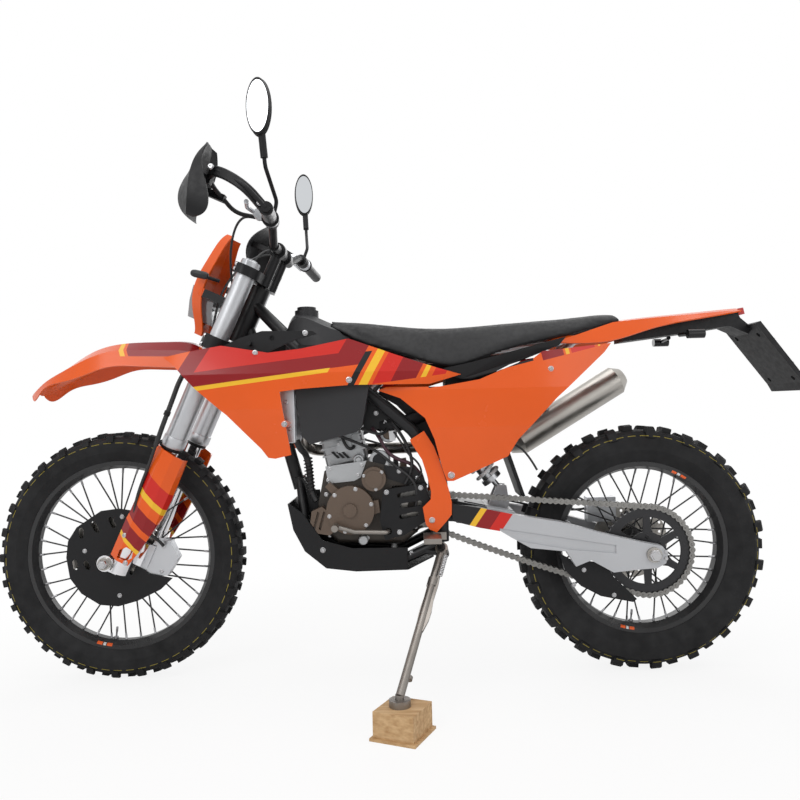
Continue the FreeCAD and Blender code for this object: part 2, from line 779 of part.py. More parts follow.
def disc_guard():
    """A plate outside the disc with six slots, cut away for the caliper's arm."""
    lug_face = s.fork_half_spacing - HALF * s.lug_width
    y = -lug_face + s.seat_gap
    thick = 2.5
    plate = prism(DISC_GUARD_OUTLINE, y, y + thick)
    cuts = [Part.makeCylinder(s.axle_radius + 8, thick, Vector(0, y, 0), Y_AXIS)]
    cuts += [slot_bar(start, end, half, y, y + thick) for start, end, half in DISC_GUARD_SLOTS]
    cuts.append(prism([(9, -15), (69, -15), (69, 160), (9, 160)], y, y + thick))
    cuts.append(prism([(60, 12), (106, 12), (106, 92), (60, 92)], y, y + thick))
    node("disc_guard", plate.cut(Part.makeCompound(cuts)), FORK_PLACE)


BAR_SHARES = [(0.27, 0.0, 0.0), (0.5, 0.0, 40.0), (1.0, 34.0, 30.0)]


def bar_points(side):
    """The bar's bends: centre, shoulder, rise and end."""
    centre = Vector(s.bar_setback, 0, BAR_HEIGHT)
    points = [centre]
    for share, back, rise in BAR_SHARES:
        points.append(centre + Vector(back, side * s.bar_half_width * share, rise))
    return points


def handlebar():
    halves = []
    for side in SIDES:
        points = bar_points(side)
        halves.append(tube(points, s.bar_radius, 60))
        middle = rod(s.bar_clamp_radius, points[0], points[1])
        halves.append(middle)
        end = points[-1]
        back = points[-2] - end
        back.normalize()
        halves.append(rod(s.grip_radius, end, end + back * s.grip_length))
        halves.append(rod(s.grip_radius + 5, end + back * s.grip_length, end + back * (s.grip_length + 5)))
    node("handlebar", fused(halves), FORK_PLACE)


def controls():
    """Clutch and brake perches with their levers."""
    parts = []
    for side in SIDES:
        points = bar_points(side)
        end = points[-1]
        back = points[-2] - end
        back.normalize()
        ring_start = end + back * (s.grip_length + 8)
        perch = ring(s.bar_radius + 8, s.bar_radius + s.axle_running_gap, ring_start, ring_start + back * 22)
        forward = Vector(-1, 0, 0)
        root = ring_start + back * 11 + forward * (s.bar_radius + 6)
        knuckle = rod(9, root, root + forward * 28)
        tip = end + forward * 52 + back * 22
        lever = tube([root + forward * 24, root + forward * 44 - back * 30, tip], 5.5, 40)
        reservoir = rod(13, root + forward * 16 - back * 10, root + forward * 16 + back * 24)
        parts.append(fused([perch, knuckle, lever, reservoir]))
    node("hand_controls", Part.makeCompound(parts), FORK_PLACE)


SHIELD_LEVELS = [
    # height over the bar's end, front, rear edge, inner end, outer end
    (-84, -64, -38, 320, 408),
    (-62, -92, -6, 270, 428),
    (-28, -106, -12, 236, 432),
    (8, -105, -38, 226, 428),
    (50, -94, -68, 250, 414),
    (94, -88, -84, 316, 380),
]


def hand_shield(side):
    """A bowl-shaped sheet in front of the grip, lofted through level lines."""
    base = bar_points(side)[-1].z
    sections = []
    for up, front, rear, inner, outer in SHIELD_LEVELS:
        line = [(front + 6, inner), (front, inner + (outer - inner) * 0.35),
                (front + 2, inner + (outer - inner) * 0.7), (front + (rear - front) * 0.45, outer - 4),
                (rear, outer)]
        strip = offset_strip(line, -s.guard_wall)
        sections.append([Vector(x, side * y, base + up) for x, y in strip])
    return loft(sections)


def hand_guards():
    """A strap round each grip with a shield in front of it."""
    guards = []
    for side in SIDES:
        end = bar_points(side)[-1]
        out = side
        back = bar_points(side)[-2] - end
        back.normalize()
        foot = end + back * (s.grip_length + 47)
        clamp = ring(s.bar_radius + 8, s.bar_radius + s.axle_running_gap, foot, foot + back * 12)
        plug = rod(10, end - back * s.seat_gap, end - back * 14)
        strap = tube([
            end - back * 10,
            end + Vector(-60, out * 22, 26),
            end + Vector(-150, -out * 10, 40),
            end + Vector(-178, -out * 90, 20),
            end + Vector(-120, -out * 165, -10),
            foot + back * 6 + Vector(-s.bar_radius - 5, 0, 0)], 5.5, 50)
        plate = hand_shield(side)
        pegs = [Part.makeBox(48, 18, 18, Vector(-96, end.y - out * 50 - 9, end.z + 9)),
                Part.makeBox(70, 18, 18, Vector(-102, end.y - out * 127 - 9, end.z - 4))]
        guards.append(fused([strap, plate, clamp, plug] + pegs))
    node("hand_guards", Part.makeCompound(guards), FORK_PLACE)


MIRROR_CENTRE = Vector(-21, 330, 1234)
MIRROR_HALF = Vector(31, 13, 71)


def mirrors():
    """An oval head on a stalk above each grip."""
    parts = []
    for side in SIDES:
        points = bar_points(side)
        end = points[-1]
        back = points[-2] - end
        back.normalize()
        foot = end + back * (s.grip_length + 33)
        clamp = ring(s.bar_radius + 8, s.bar_radius + s.axle_running_gap, foot, foot + back * 12)
        root = foot + back * 6 + Vector(0, 0, s.bar_radius + 3)
        centre = Vector(MIRROR_CENTRE.x, side * MIRROR_CENTRE.y, MIRROR_CENTRE.z)
        low = centre + Vector(33, 0, -63)
        neck = Vector(43, side * 318, 1112)
        stalk = tube([root, root + Vector(-4, side * 8, 34), neck, low], 5, 24)
        collar = rod(9, neck + (low - neck) * 0.3, low + (centre - low) * 0.12)
        head = Part.makeSphere(1)
        matrix = FreeCAD.Matrix()
        matrix.scale(MIRROR_HALF.x, MIRROR_HALF.y, MIRROR_HALF.z)
        head = head.transformGeometry(matrix)
        head.Placement = Placement(centre, Rotation(Y_AXIS, -s.rake_angle) * Rotation(Z_AXIS, side * 12))
        parts.append(fused([clamp, stalk, collar, head]))
    node("mirrors", Part.makeCompound(parts), FORK_PLACE)


MASK_STATIONS = [
    # along the fork, front face, half width, edge setback
    (963, -88, 42, 30),
    (900, -102, 74, 40),
    (842, -106, 92, 44),
    (805, -107, 98, 46),
    (740, -92, 94, 46),
    (667, -58, 70, 36),
]


def mask_section(along, front, half, setback, thickness):
    line = [(front + setback, -half), (front + setback * 0.3, -half * 0.8), (front, -half * 0.35),
            (front, half * 0.35), (front + setback * 0.3, half * 0.8), (front + setback, half)]
    return [Vector(x, y, along) for x, y in offset_strip(line, -thickness)]


def headlamp_mask():
    sections = [mask_section(*station, s.guard_wall) for station in MASK_STATIONS]
    shell = loft(sections)
    reach = s.fork_half_spacing - 97
    arm_end = s.lug_offset - math.sqrt(s.outer_tube_top_radius ** 2 - reach ** 2) - s.seat_gap
    arms = [Part.makeBox(80, 6, 22, Vector(arm_end - 80, side * 94 - 3, 770)) for side in SIDES]
    node("headlamp_mask", fused([shell.cut(lamp_body(s.seat_gap))] + arms), FORK_PLACE)
    node("headlamp", lamp_body(0), FORK_PLACE)


def lamp_body(grow):
    """The lamp's housing, which fits the mask's window."""
    sections = []
    for along, front, half in ((704 - grow, -84, 53), (750, -98, 54), (792 + grow, -104, 54)):
        half += grow
        back = front + 66 + grow
        face = front - 4 * grow
        corners = ((face, -half), (face, half), (back, half * 0.8), (back, -half * 0.8))
        sections.append([Vector(x, y, along) for x, y in corners])
    return loft(sections, True)


FENDER_STATIONS = [
    # x, ridge height, half width, edge height
    (-982, 822, 34, 812),
    (-935, 858, 72, 824),
    (-869, 897, 92, 848),
    (-800, 938, 97, 866),
    (-740, 956, 94, 886),
    (-660, 962, 84, 888),
    (-590, 962, 72, 884),
    (-530, 958, 66, 880),
    (-480, 930, 64, 868),
    (-430, 890, 62, 848),
]


def fender_section(x, ridge, half, edge, thickness):
    line = [(-half, edge), (-half * 0.86, edge + (ridge - edge) * 0.62), (-half * 0.42, ridge - 4),
            (0, ridge), (half * 0.42, ridge - 4), (half * 0.86, edge + (ridge - edge) * 0.62), (half, edge)]
    return [Vector(x, y, z) for y, z in offset_strip(line, -thickness)]


def front_fender():
    sections = [fender_section(*station, s.guard_wall) for station in FENDER_STATIONS]
    pad = Part.makeBox(36, 56, 34, Vector(14, -28, s.lower_clamp_start - s.seat_gap - 34))
    pad.Placement = FORK * pad.Placement
    node("front_fender", loft(sections).fuse(pad))


# Frame and body

def spars(radius):
    """The two main tubes from the steering head over the engine to the swingarm pivot."""
    head = FORK.multVec(Vector(STEER_ACROSS, 0, s.upper_clamp_start - s.head_tube_gap - 60))
    bars = []
    for side in SIDES:
        points = [head + Vector(14, side * 12, 0), Vector(-180, side * 90, 890),
                  Vector(-20, side * 112, 800), Vector(104, side * 112, 690),
                  Vector(s.pivot_x, side * 104, 560), Vector(s.pivot_x, side * 104, 390)]
        bars.append(tube(points, radius, 90))
    return bars


def frame():
    """Head tube, two spars, a single down tube that splits into the cradle, and pivot plates."""
    head_low = FORK.multVec(Vector(STEER_ACROSS, 0, s.lower_clamp_end + s.head_tube_gap))
    head_high = FORK.multVec(Vector(STEER_ACROSS, 0, s.upper_clamp_start - s.head_tube_gap))
    head_tube = rod(s.head_tube_radius, head_low, head_high)
    head_bore = rod(s.stem_radius + s.axle_running_gap, head_low, head_high)
    parts = [head_tube]
    axis = head_high - head_low
    axis.normalize()
    parts += spars(s.spar_radius)
    for side in SIDES:
        rail = [Vector(-224, side * 12, 560), Vector(-206, side * 52, 440), Vector(-150, side * 78, 354),
                Vector(60, side * 88, 335.2), Vector(s.pivot_x, side * 104, 388)]
        parts.append(tube(rail, s.cradle_radius, 60))
    down = [head_low + axis * 58 + Vector(6, 0, 0), Vector(-256, 0, 640), Vector(-226, 0, 530)]
    parts.append(tube(down, s.down_tube_radius, 120))
    low, high = shock_ends()
    for side in SIDES:
        tower = prism([(102, 682), (122, 670), (168, 756), (158, 786), (140, 786)],
                      high.y + side * 14.3, high.y + side * 24)
        mount = prism([(-240, 560), (-212, 560), (-170, 500), (-174, 455), (-214, 470)],
                      side * 20, side * 26)
        parts += [tower, mount]
    for x, z in ((12, 778), (s.pivot_x, s.pivot_z), (40, 340), (112, 676)):
        wide = 100
        parts.append(rod(s.pivot_radius, Vector(x, -wide, z), Vector(x, wide, z)))
    body = fused(parts + stand_lug()).cut(head_bore)
    node("frame", body)
    return body


def subframe(frame_shape):
    parts = []
    for side in SIDES:
        upper = [Vector(-16, side * 92, 806), Vector(60, side * 62, 880), Vector(330, side * 60, 912),
                 Vector(640, side * 56, 944)]
        parts.append(tube(upper, s.subframe_radius, 60))
        lower = [Vector(s.pivot_x, side * 100, 580), Vector(350, side * 90, 740), Vector(560, side * 56, 930)]
        parts.append(tube(lower, s.subframe_radius, 60))
    for x, z in ((640, 944), (330, 912)):
        parts.append(rod(s.subframe_radius, Vector(x, -60, z), Vector(x, 60, z)))
    can_start, can_end = muffler_ends()
    can_middle = can_start + (can_end - can_start) * 0.34
    hanger = rod(8, Vector(455, 73, 835), can_middle).cut(rod(46.3, can_start, can_end))
    node("subframe", fused(parts + [hanger]).cut(frame_shape))


def engine_deck():
    """The face that the cylinder stands on, tilted forward."""
    return Placement(Vector(-84, 0, 597), Rotation(Y_AXIS, -12))


def engine():
    deck = engine_deck()
    deck_front = deck.multVec(Vector(-62, 0, 0))
    deck_rear = deck.multVec(Vector(62, 0, 0))
    cases = prism([(-150, 556), (-166, 480), (-150, 418), (-112, 384), (70, 380), (128, 424), (146, 500),
                   (130, 556), (60, 588), (deck_rear.x, deck_rear.z), (deck_front.x, deck_front.z)],
                  -84, 84)
    cases = cases.makeFillet(14, [edge for edge in cases.Edges
                                  if abs(edge.Length - 168) > 1 and edge.BoundBox.ZMax < 500])
    bay = prism([(s.output_x - 54, s.output_z - 54), (s.output_x, s.output_z - 68), (220, s.output_z - 110),
                 (220, s.output_z + 56), (s.output_x - 54, s.output_z + 56)], -90, -58)
    shaft = rod(s.axle_radius, Vector(s.output_x, -50, s.output_z), Vector(s.output_x, -s.chain_side - 8, s.output_z))
    front_lug = prism([(-158, 502), (-200, 496), (-200, 462), (-158, 456)], -19.7, 19.7)
    rear_lug = rod(26, Vector(s.pivot_x, -61.7, s.pivot_z), Vector(s.pivot_x, 61.7, s.pivot_z))
    rear_web = prism([(120, 500), (s.pivot_x, s.pivot_z + 26), (s.pivot_x, s.pivot_z - 26), (120, 430)], -57, 57)
    pivot_bore = rod(s.pivot_radius + s.seat_gap, Vector(s.pivot_x, -80, s.pivot_z),
                     Vector(s.pivot_x, 80, s.pivot_z))
    node("engine_cases", fused([cases.cut(bay), shaft, front_lug, rear_lug, rear_web]).cut(pivot_bore))
    pinion = sprocket(s.front_teeth, s.axle_radius + s.axle_running_gap)
    node("front_sprocket", pinion, LEAN * Placement(Vector(s.output_x, 0, s.output_z), front_phase()))
    barrel = Part.makeBox(116, 100, 150, Vector(-58, -50, s.seat_gap))
    head = Part.makeBox(128, 110, 62, Vector(-64, -55, 150))
    ribs = [Part.makeBox(124, 108, 5, Vector(-62, -54, 34 + 20 * k)) for k in range(5)]
    plug = rod(18, Vector(20, -72, 92), Vector(20, 0, 92))
    block = fused([barrel.makeFillet(10, barrel.Edges), head.makeFillet(10, head.Edges), plug] + ribs)
    block.Placement = deck
    node("engine_cylinder", block)
    left = [Part.makeCylinder(65, 34, Vector(-72, -84.3 - 34, 480), Y_AXIS),
            Part.makeCylinder(18, 8, Vector(-72, -84.3 - 42, 480), Y_AXIS),
            Part.makeCylinder(33, 26, Vector(-7, -84.3 - 26, 562), Y_AXIS),
            Part.makeCylinder(24, 4, Vector(-7, -84.3 - 30, 562), Y_AXIS),
            prism([(-140, 544), (-128, 556), (-104, 536), (-120, 522)], -84.3 - 26, -84.3),
            prism([(-24, 500), (4, 504), (8, 470), (-20, 462)], -84.3 - 18, -84.3)]
    lobe = prism([(-178, 478), (-182, 448), (-162, 418), (-130, 412), (-112, 428), (-122, 470), (-150, 490)],
                 -84.3 - 28, -84.3)
    grooves = [prism([(-176 + 16 * k, 430), (-170 + 16 * k, 426), (-156 + 16 * k, 474), (-162 + 16 * k, 478)],
                     -84.3 - 29, -84.3 - 18) for k in range(2)]
    left.append(lobe.cut(Part.makeCompound(grooves)))
    right = [Part.makeCylinder(78, 44, Vector(-30, 84.3, 478), Y_AXIS),
             Part.makeCylinder(30, 30, Vector(-108, 84.3, 440), Y_AXIS)]
    node("engine_covers", Part.makeCompound([fused(left), fused(right)]))


def muffler_ends():
    return Vector(436, 160, 644), Vector(742, 176, 824)


def exhaust():
    """Header from the front of the head, round the right side to the silencer."""
    start, end = muffler_ends()
    axis = end - start
    axis.normalize()
    deck = engine_deck()
    route = [deck.multVec(Vector(-64.3, 20, 172)), deck.multVec(Vector(-94, 20, 172)),
             Vector(-216, 46, 648),
             Vector(-190, 78, 632), Vector(90, 76, 634), Vector(178, 67, 640),
             Vector(296, 67, 622), Vector(326, 128, 590), start - axis * 84,
             start - axis * 40.3]
    pipe = tube(route, 17, 50).cut(tube(route, 17 - s.pipe_wall, 50))
    node("exhaust_pipe", pipe)
    can = Part.makeCylinder(46, (end - start).Length, start, end - start)
    cone = Part.makeCone(23, 46, 40, start - axis * 40, axis)
    tail = Part.makeCone(46, 26, 26, end, axis)
    wall = s.muffler_wall
    space = Part.makeCylinder(46 - wall, (end - start).Length - wall, start + axis * wall, axis)
    outlet = Part.makeCylinder(18, 26 + wall + s.cut_overrun, end - axis * wall, axis)
    node("muffler", fused([can, cone, tail]).cut(space).cut(outlet))


def radiators():
    core = Part.makeBox(39.7, 88, 204, Vector(-245, -164, 676))
    tanks = [Part.makeBox(41, 14, 220, Vector(-247, y, 668)) for y in (-172, -84)]
    tanks = [tank.makeFillet(5, tank.Edges) for tank in tanks]
    node("radiators", both_sides(fused([core] + tanks)))


def fuel_tank():
    """A saddle tank: a middle over the spars and a lobe outside each."""
    sections = []
    for x, low, high, half in ((-250, 905, 985, 52), (-220, 900, 1030, 70), (-150, 908, 1012, 92),
                               (-60, 872, 984, 80), (24, 868, 960, 44)):
        sections.append([Vector(x, -half, low + 22), Vector(x, -half * 0.8, high - 18),
                         Vector(x, -half * 0.3, high), Vector(x, half * 0.3, high),
                         Vector(x, half * 0.8, high - 18), Vector(x, half, low + 22),
                         Vector(x, half * 0.6, low), Vector(x, -half * 0.6, low)])
    middle = loft(sections)
    cap = Part.makeCylinder(34, 24, Vector(-196, 0, 1016), Z_AXIS)
    cap = cap.fuse(Part.makeCylinder(27, 34, Vector(-196, 0, 1016), Z_AXIS))
    lobe = prism([(-205, 806), (-190, 686), (-167, 664), (-46, 693), (-30, 711), (-12, 806),
                  (-8, 850), (-205, 850)], -176, -134)
    shoulder = prism([(-205, 846), (-8, 846), (6, 866), (-60, 922), (-200, 930)], -144, -50)
    shapes = [middle, cap]
    for side in (lobe, shoulder):
        shapes += [side, mirrored(side)]
    body = fused(shapes)
    for spar in spars(s.spar_radius + s.seat_gap):
        body = body.cut(spar)
    body = body.cut(seat_envelope())
    solids = sorted(body.Solids, key=lambda solid: solid.Volume)
    node("fuel_tank", solids[-1])


SEAT_STATIONS = [
    # x, crown height, crown half width, edge height, edge half width
    (-122, 1008, 44, 990, 58),
    (-60, 998, 54, 956, 90),
    (40, 985, 60, 914, 110),
    (140, 974, 66, 879, 124),
    (207, 972, 70, 865, 128),
    (330, 978, 76, 897, 128),
    (450, 985, 78, 928, 118),
    (560, 992, 78, 953, 108),
    (650, 999, 72, 976, 92),
    (685, 997, 66, 985, 82),
]


def seat_envelope():
    """Everything under the seat's outer skin, down to its lower edge, with its gap."""
    sections = []
    for x, crown, top_half, edge, half in SEAT_STATIONS:
        drop = 2 * s.seat_gap
        line = [(-half, edge), (-top_half, crown - 10), (-top_half * 0.55, crown),
                (top_half * 0.55, crown), (top_half, crown - 10), (half, edge)]
        thick = min(16, HALF * (crown - edge) + 8)
        outer = [(y, z + 30) for y, z in line]
        inner = offset_strip(line, -thick - drop)[len(line):]
        low = [(inner[0][0], inner[0][1] - drop)] + inner[1:-1] + [(inner[-1][0], inner[-1][1] - drop)]
        edge_out = half + drop
        outline = [(-edge_out, edge - drop), (-edge_out, crown + 30), (edge_out, crown + 30),
                   (edge_out, edge - drop)] + low
        sections.append([Vector(x, y, z) for y, z in outline])
    return loft(sections)


def seat():
    sections = []
    for x, crown, top_half, edge, half in SEAT_STATIONS:
        line = [(-half, edge), (-top_half, crown - 10), (-top_half * 0.55, crown),
                (top_half * 0.55, crown), (top_half, crown - 10), (half, edge)]
        thick = min(16, HALF * (crown - edge) + 8)
        sections.append([Vector(x, y, z) for y, z in offset_strip(line, -thick)])
    node("seat", loft(sections))


def side_skin(stations, thickness):
    """A curved sheet on the left side, lofted through upright lines of (x, [(z, y), ...])."""
    sections = []
    for x, line in stations:
        strip = offset_strip([(z, y) for z, y in line], thickness)
        sections.append([Vector(x, y, z) for z, y in strip])
    return loft(sections)


SHROUD_OUTLINE_SHARES = [
    (0.0, 0.865), (0.043, 0.785), (0.117, 0.588), (0.215, 0.373), (0.321, 0.084), (0.341, 0.01),
    (0.364, 0.0), (0.417, 0.029), (0.389, 0.556), (0.453, 0.576), (0.622, 0.601), (0.89, 0.598),
    (1.0, 0.675), (0.924, 0.73), (0.775, 0.855), (0.615, 1.0), (0.456, 0.916), (0.348, 0.885),
    (0.193, 0.952), (0.084, 0.907)]


def shrouds():
    stations = []
    for x, out in ((-545, 226), (-450, 236), (-330, 230), (-200, 214), (-60, 196), (90, 168), (250, 140)):
        stations.append((x, [(600, -out + 34), (760, -out + 4), (850, -out), (960, -out + 44)]))
    skin = side_skin(stations, -s.panel_thickness)
    outline = scaled(SHROUD_OUTLINE_SHARES, -537, 630, 772, 311)
    panel = skin.common(prism(outline, -s.bar_half_width, 0))
    stands = [boss(skin, -60, 830, 9, 176), boss(skin, -228, 720, 9, 172)]
    node("shrouds", both_sides(fused([panel] + stands)))
    shroud_wings(skin)


WING_OUTLINE = [(-395, 926), (-347, 948), (-288, 965), (-156, 962), (-143, 954), (-202, 939), (-290, 902)]


def shroud_wings(skin):
    """A flat panel inside the top edge of each shroud."""
    panel = prism(WING_OUTLINE, -178, -174)
    start = skin_place(skin, -320, 932) + Vector(0, HALF * s.panel_thickness + s.seat_gap, 0)
    bolt = rod(6, start, Vector(-320, -176, 932))
    node("shroud_wings", both_sides(fused([panel, bolt])))


SIDE_OUTLINE_SHARES = [
    (0.0, 0.683), (0.033, 0.705), (0.259, 0.7), (0.37, 0.73), (0.424, 0.745), (0.589, 0.861),
    (0.65, 0.886), (0.693, 0.942), (1.0, 1.0), (0.967, 0.931), (0.748, 0.6), (0.581, 0.3),
    (0.538, 0.178), (0.31, 0.0), (0.282, 0.0), (0.266, 0.081), (0.233, 0.314), (0.195, 0.472),
    (0.093, 0.622)]


def side_panels():
    stations = []
    for x, out in ((0, 146), (140, 160), (300, 172), (430, 168), (560, 146), (660, 122)):
        stations.append((x, [(540, -out + 30), (700, -out + 4), (800, -out), (940, -out + 18)]))
    skin = side_skin(stations, -s.panel_thickness)
    outline = scaled(SIDE_OUTLINE_SHARES, 12, 556, 632, 360)
    panel = skin.common(prism(outline, -s.bar_half_width, 0))
    stands = [boss(skin, 240, 637.7, 7, 106.5), boss(skin, 470, 848.6, 7, 81.6)]
    node("side_panels", both_sides(fused([panel] + stands)))


REAR_FENDER_STATIONS = [
    # x, top height, half width, edge height
    (480, 962, 96, 922),
    (560, 972, 112, 918),
    (650, 982, 112, 924),
    (750, 992, 98, 952),
    (850, 1000, 84, 974),
    (950, 1008, 68, 990),
    (1030, 1014, 48, 1004),
]


def rear_fender():
    sections = []
    for x, top, half, edge in REAR_FENDER_STATIONS:
        line = [(-half, edge), (-half * 0.8, top - 8), (-half * 0.3, top), (half * 0.3, top),
                (half * 0.8, top - 8), (half, edge)]
        sections.append([Vector(x, y, z) for y, z in offset_strip(line, -s.guard_wall)])
    shape = loft(sections).cut(seat_envelope())
    node("rear_fender", shape)
    return shape


def tail(fender_shape):
    """The plate bracket, tail lamp and rear indicators."""
    arm = prism([(700, 1006), (1010, 1024), (1030, 984), (1062, 956), (1052, 938), (1000, 962), (880, 946),
                 (700, 925)], -40, 40).cut(fender_shape)
    arm = sorted(arm.Solids, key=lambda solid: solid.Volume)[-1]
    plate = prism([(1046, 962), (1060, 968), (1184, 800), (1196, 776), (1182, 776), (1170, 798)], -90, 90)
    normal = Vector(168, 0, 124)
    normal.normalize()
    holes = []
    for x, z in ((1078, 940), (1168, 816)):
        for y in (-60, 60):
            middle = Vector(x, y, z)
            holes.append(rod(7, middle - normal * 30, middle + normal * 30))
    node("plate_bracket", fused([arm, plate]).cut(Part.makeCompound(holes)))
    lamp = prism([(1030.3, 1012), (1044, 1014), (1048, 996), (1030.3, 992)], -30, 30)
    bodies = [lamp]
    for side in SIDES:
        stalk = rod(6, Vector(860, side * 40.3, 940), Vector(866, side * 112, 936))
        bulb = Part.makeCylinder(12, 44, Vector(846, side * 124, 934), X_AXIS)
        bodies.append(fused([stalk, bulb]))
    node("tail_lights", Part.makeCompound(bodies))


def skid_plate():
    outer = [(-240, 500), (-226, 430), (-196, 372), (-140, 326), (-60, 316), (80, 318), (150, 352)]
    strip = offset_strip(outer, -s.guard_wall)
    body = prism(strip, -108, 108)
    wall_outline = outer[:-1] + [(80, 374), (-69, 375), (-150, 398), (-205, 474)]
    walls = [prism(wall_outline, side * 104, side * 108) for side in SIDES]
    node("skid_plate", fused([body] + walls))


FRAME_GUARD_SHARES = [
    (0.352, 1.0), (0.0, 0.915), (0.028, 0.886), (0.287, 0.717), (0.398, 0.57), (0.491, 0.401),
    (0.481, 0.324), (0.278, 0.246), (0.343, 0.081), (0.444, 0.029), (0.611, 0.0), (0.861, 0.107),
    (0.991, 0.173), (1.0, 0.29), (0.935, 0.419), (0.731, 0.691), (0.593, 0.842), (0.398, 0.971)]


def frame_guards():
    outline = scaled(FRAME_GUARD_SHARES, 94, 419, 108, 272)
    peg = rod(5, Vector(s.pivot_x, -120.3, 500), Vector(s.pivot_x, -130, 500))
    node("frame_guards", both_sides(prism(outline, -136.3, -128.3).fuse(peg)))


SWINGARM_OUTLINE_SHARES = [
    (0.002, 1.0), (0.134, 0.938), (0.322, 0.813), (0.508, 0.715), (0.694, 0.549), (0.88, 0.409),
    (0.974, 0.352), (1.0, 0.249), (0.99, 0.114), (0.948, 0.047), (0.877, 0.036), (0.746, 0.0),
    (0.643, 0.176), (0.572, 0.093), (0.529, 0.306), (0.363, 0.363), (0.271, 0.518), (0.224, 0.606),
    (0.13, 0.658), (0.0, 0.762)]


def swingarm():
    outline = scaled(SWINGARM_OUTLINE_SHARES, 203, 299, 575, 193)
    beam = prism(outline, -124, -94)
    recess = prism([(330, 424), (520, 392), (640, 372), (640, 350), (520, 362), (330, 398)], -126, -120)
    beam = beam.cut(recess)
    cross = prism([(216, 496), (376, 462), (376, 420), (216, 436)], -95, 95)
    pivot = rod(30, Vector(s.pivot_x, -87.7, s.pivot_z), Vector(s.pivot_x, 87.7, s.pivot_z))
    web = prism([(178, 500), (222, 500), (222, 438), (178, 440)], -87, 87)
    low, high = shock_ends()
    ears = [prism([(316, 476), (340, 528), (366, 526), (374, 470), (340, 440)],
                  low.y + side * 14.3, low.y + side * 24) for side in SIDES]
    gap = prism([(140, 520), (210, 520), (210, 420), (140, 420)], -62, 62)
    bore = rod(s.pivot_radius + s.seat_gap, Vector(s.pivot_x, -130, s.pivot_z), Vector(s.pivot_x, 130, s.pivot_z))
    axle_bore = rod(s.axle_radius + s.axle_running_gap, Vector(REAR_AXLE.x, -130, REAR_AXLE.z),
                    Vector(REAR_AXLE.x, 130, REAR_AXLE.z))
    window = prism([(240, 520), (400, 520), (400, 400), (240, 400)], -87, -61)
    body = fused([beam, mirrored(beam), cross, pivot, web] + ears).cut(window).cut(gap)
    node("swingarm", body.cut(bore).cut(axle_bore))


def rear_axle():
    shaft = rod(s.axle_radius, Vector(0, -134, 0), Vector(0, 134, 0))
    head = rod(s.axle_radius + 8, Vector(0, -124.3, 0), Vector(0, -131, 0))
    bore = rod(s.axle_bore_radius, Vector(0, -136, 0), Vector(0, 136, 0))
    hub_end = s.rear_hub_end
    spacers = [rod(s.axle_radius + 6, Vector(0, side * (hub_end + s.seat_gap), 0), Vector(0, side * 93.7, 0))
               for side in SIDES]
    node("rear_axle", fused([shaft, head] + spacers).cut(bore), REAR_WHEEL_PLACE)


CHAIN_GUIDE_SHARES = [
    (0.0, 1.0), (0.177, 0.841), (0.349, 0.833), (0.622, 0.761), (0.694, 0.522), (1.0, 0.058),
    (0.947, 0.0), (0.531, 0.13), (0.273, 0.341), (0.081, 0.645)]


COVER_SLOTS = [
    # start and end of each opening's middle line, half width
    ((62, 516), (104, 522), 7),
    ((70, 488), (116, 494), 7),
    ((66, 458), (106, 466), 6),
]


def chain_guards():
    guide_outline = scaled(CHAIN_GUIDE_SHARES, 493, 210, 209, 138)
    plates = [prism(guide_outline, -93.7, -90)]
    cover = prism([(18, 532), (132, 548), (144, 502), (137, 448), (73, 409), (20, 396), (7, 451)], -112, -100)
    posts = [rod(6, Vector(x, -84.3, z), Vector(x, -101, z)) for x, z in ((27, 520), (60, 417))]
    shaft_hole = rod(9, Vector(30, -120, 420), Vector(30, -90, 420))
    windows = [slot_bar(start, end, half, -114, -98) for start, end, half in COVER_SLOTS]
    cover = cover.cut(shaft_hole).cut(Part.makeCompound(windows))
    node("chain_guards", Part.makeCompound(plates + [fused([cover] + posts)]))


def shock_ends():
    return Vector(352, 8, 512), Vector(150, 8, 768)


def shock():
    low, high = shock_ends()
    axis = high - low
    axis.normalize()
    spring = ring(37, 27, low + axis * 50, low + axis * 205)
    node("shock_spring", spring)
    body = fused([rod(8, low, low + axis * 60), rod(30, low + axis * 36, low + axis * 49.7),
                  rod(22, low + axis * 49, high - axis * 46), rod(11, high - axis * 47, high), rod(14, low - Vector(0, 14, 0), low + Vector(0, 14, 0)),
                  rod(14, high - Vector(0, 14, 0), high + Vector(0, 14, 0)),
                  rod(34, low + axis * 205.3, low + axis * 225)])
    node("shock_body", body)


def foot_controls():
    parts = []
    for side in SIDES:
        peg = Part.makeBox(46, 85, 14, Vector(124, -206, 402))
        arm = Part.makeBox(36, 10, 20, Vector(150, -130.6, 398))
        parts.append(fused([peg, arm]) if side == LEFT else mirrored(fused([peg, arm])))
    lever = tube([Vector(30, -84.3, 420), Vector(30, -128, 420), Vector(-60, -134, 424),
                  Vector(-110, -136, 440)], 6, 14)
    toe = rod(9, Vector(-110, -132, 440), Vector(-110, -170, 440))
    parts.append(fused([lever, toe]))
    pedal = tube([Vector(160, 126, 400), Vector(120, 146, 384), Vector(0, 146, 386), Vector(-80, 146, 410)], 7, 40)
    pad = Part.makeBox(40, 30, 8, Vector(-100, 134, 408))
    right_peg = parts.pop()
    parts.append(fused([right_peg, pedal, pad]))
    node("foot_controls", Part.makeCompound(parts))


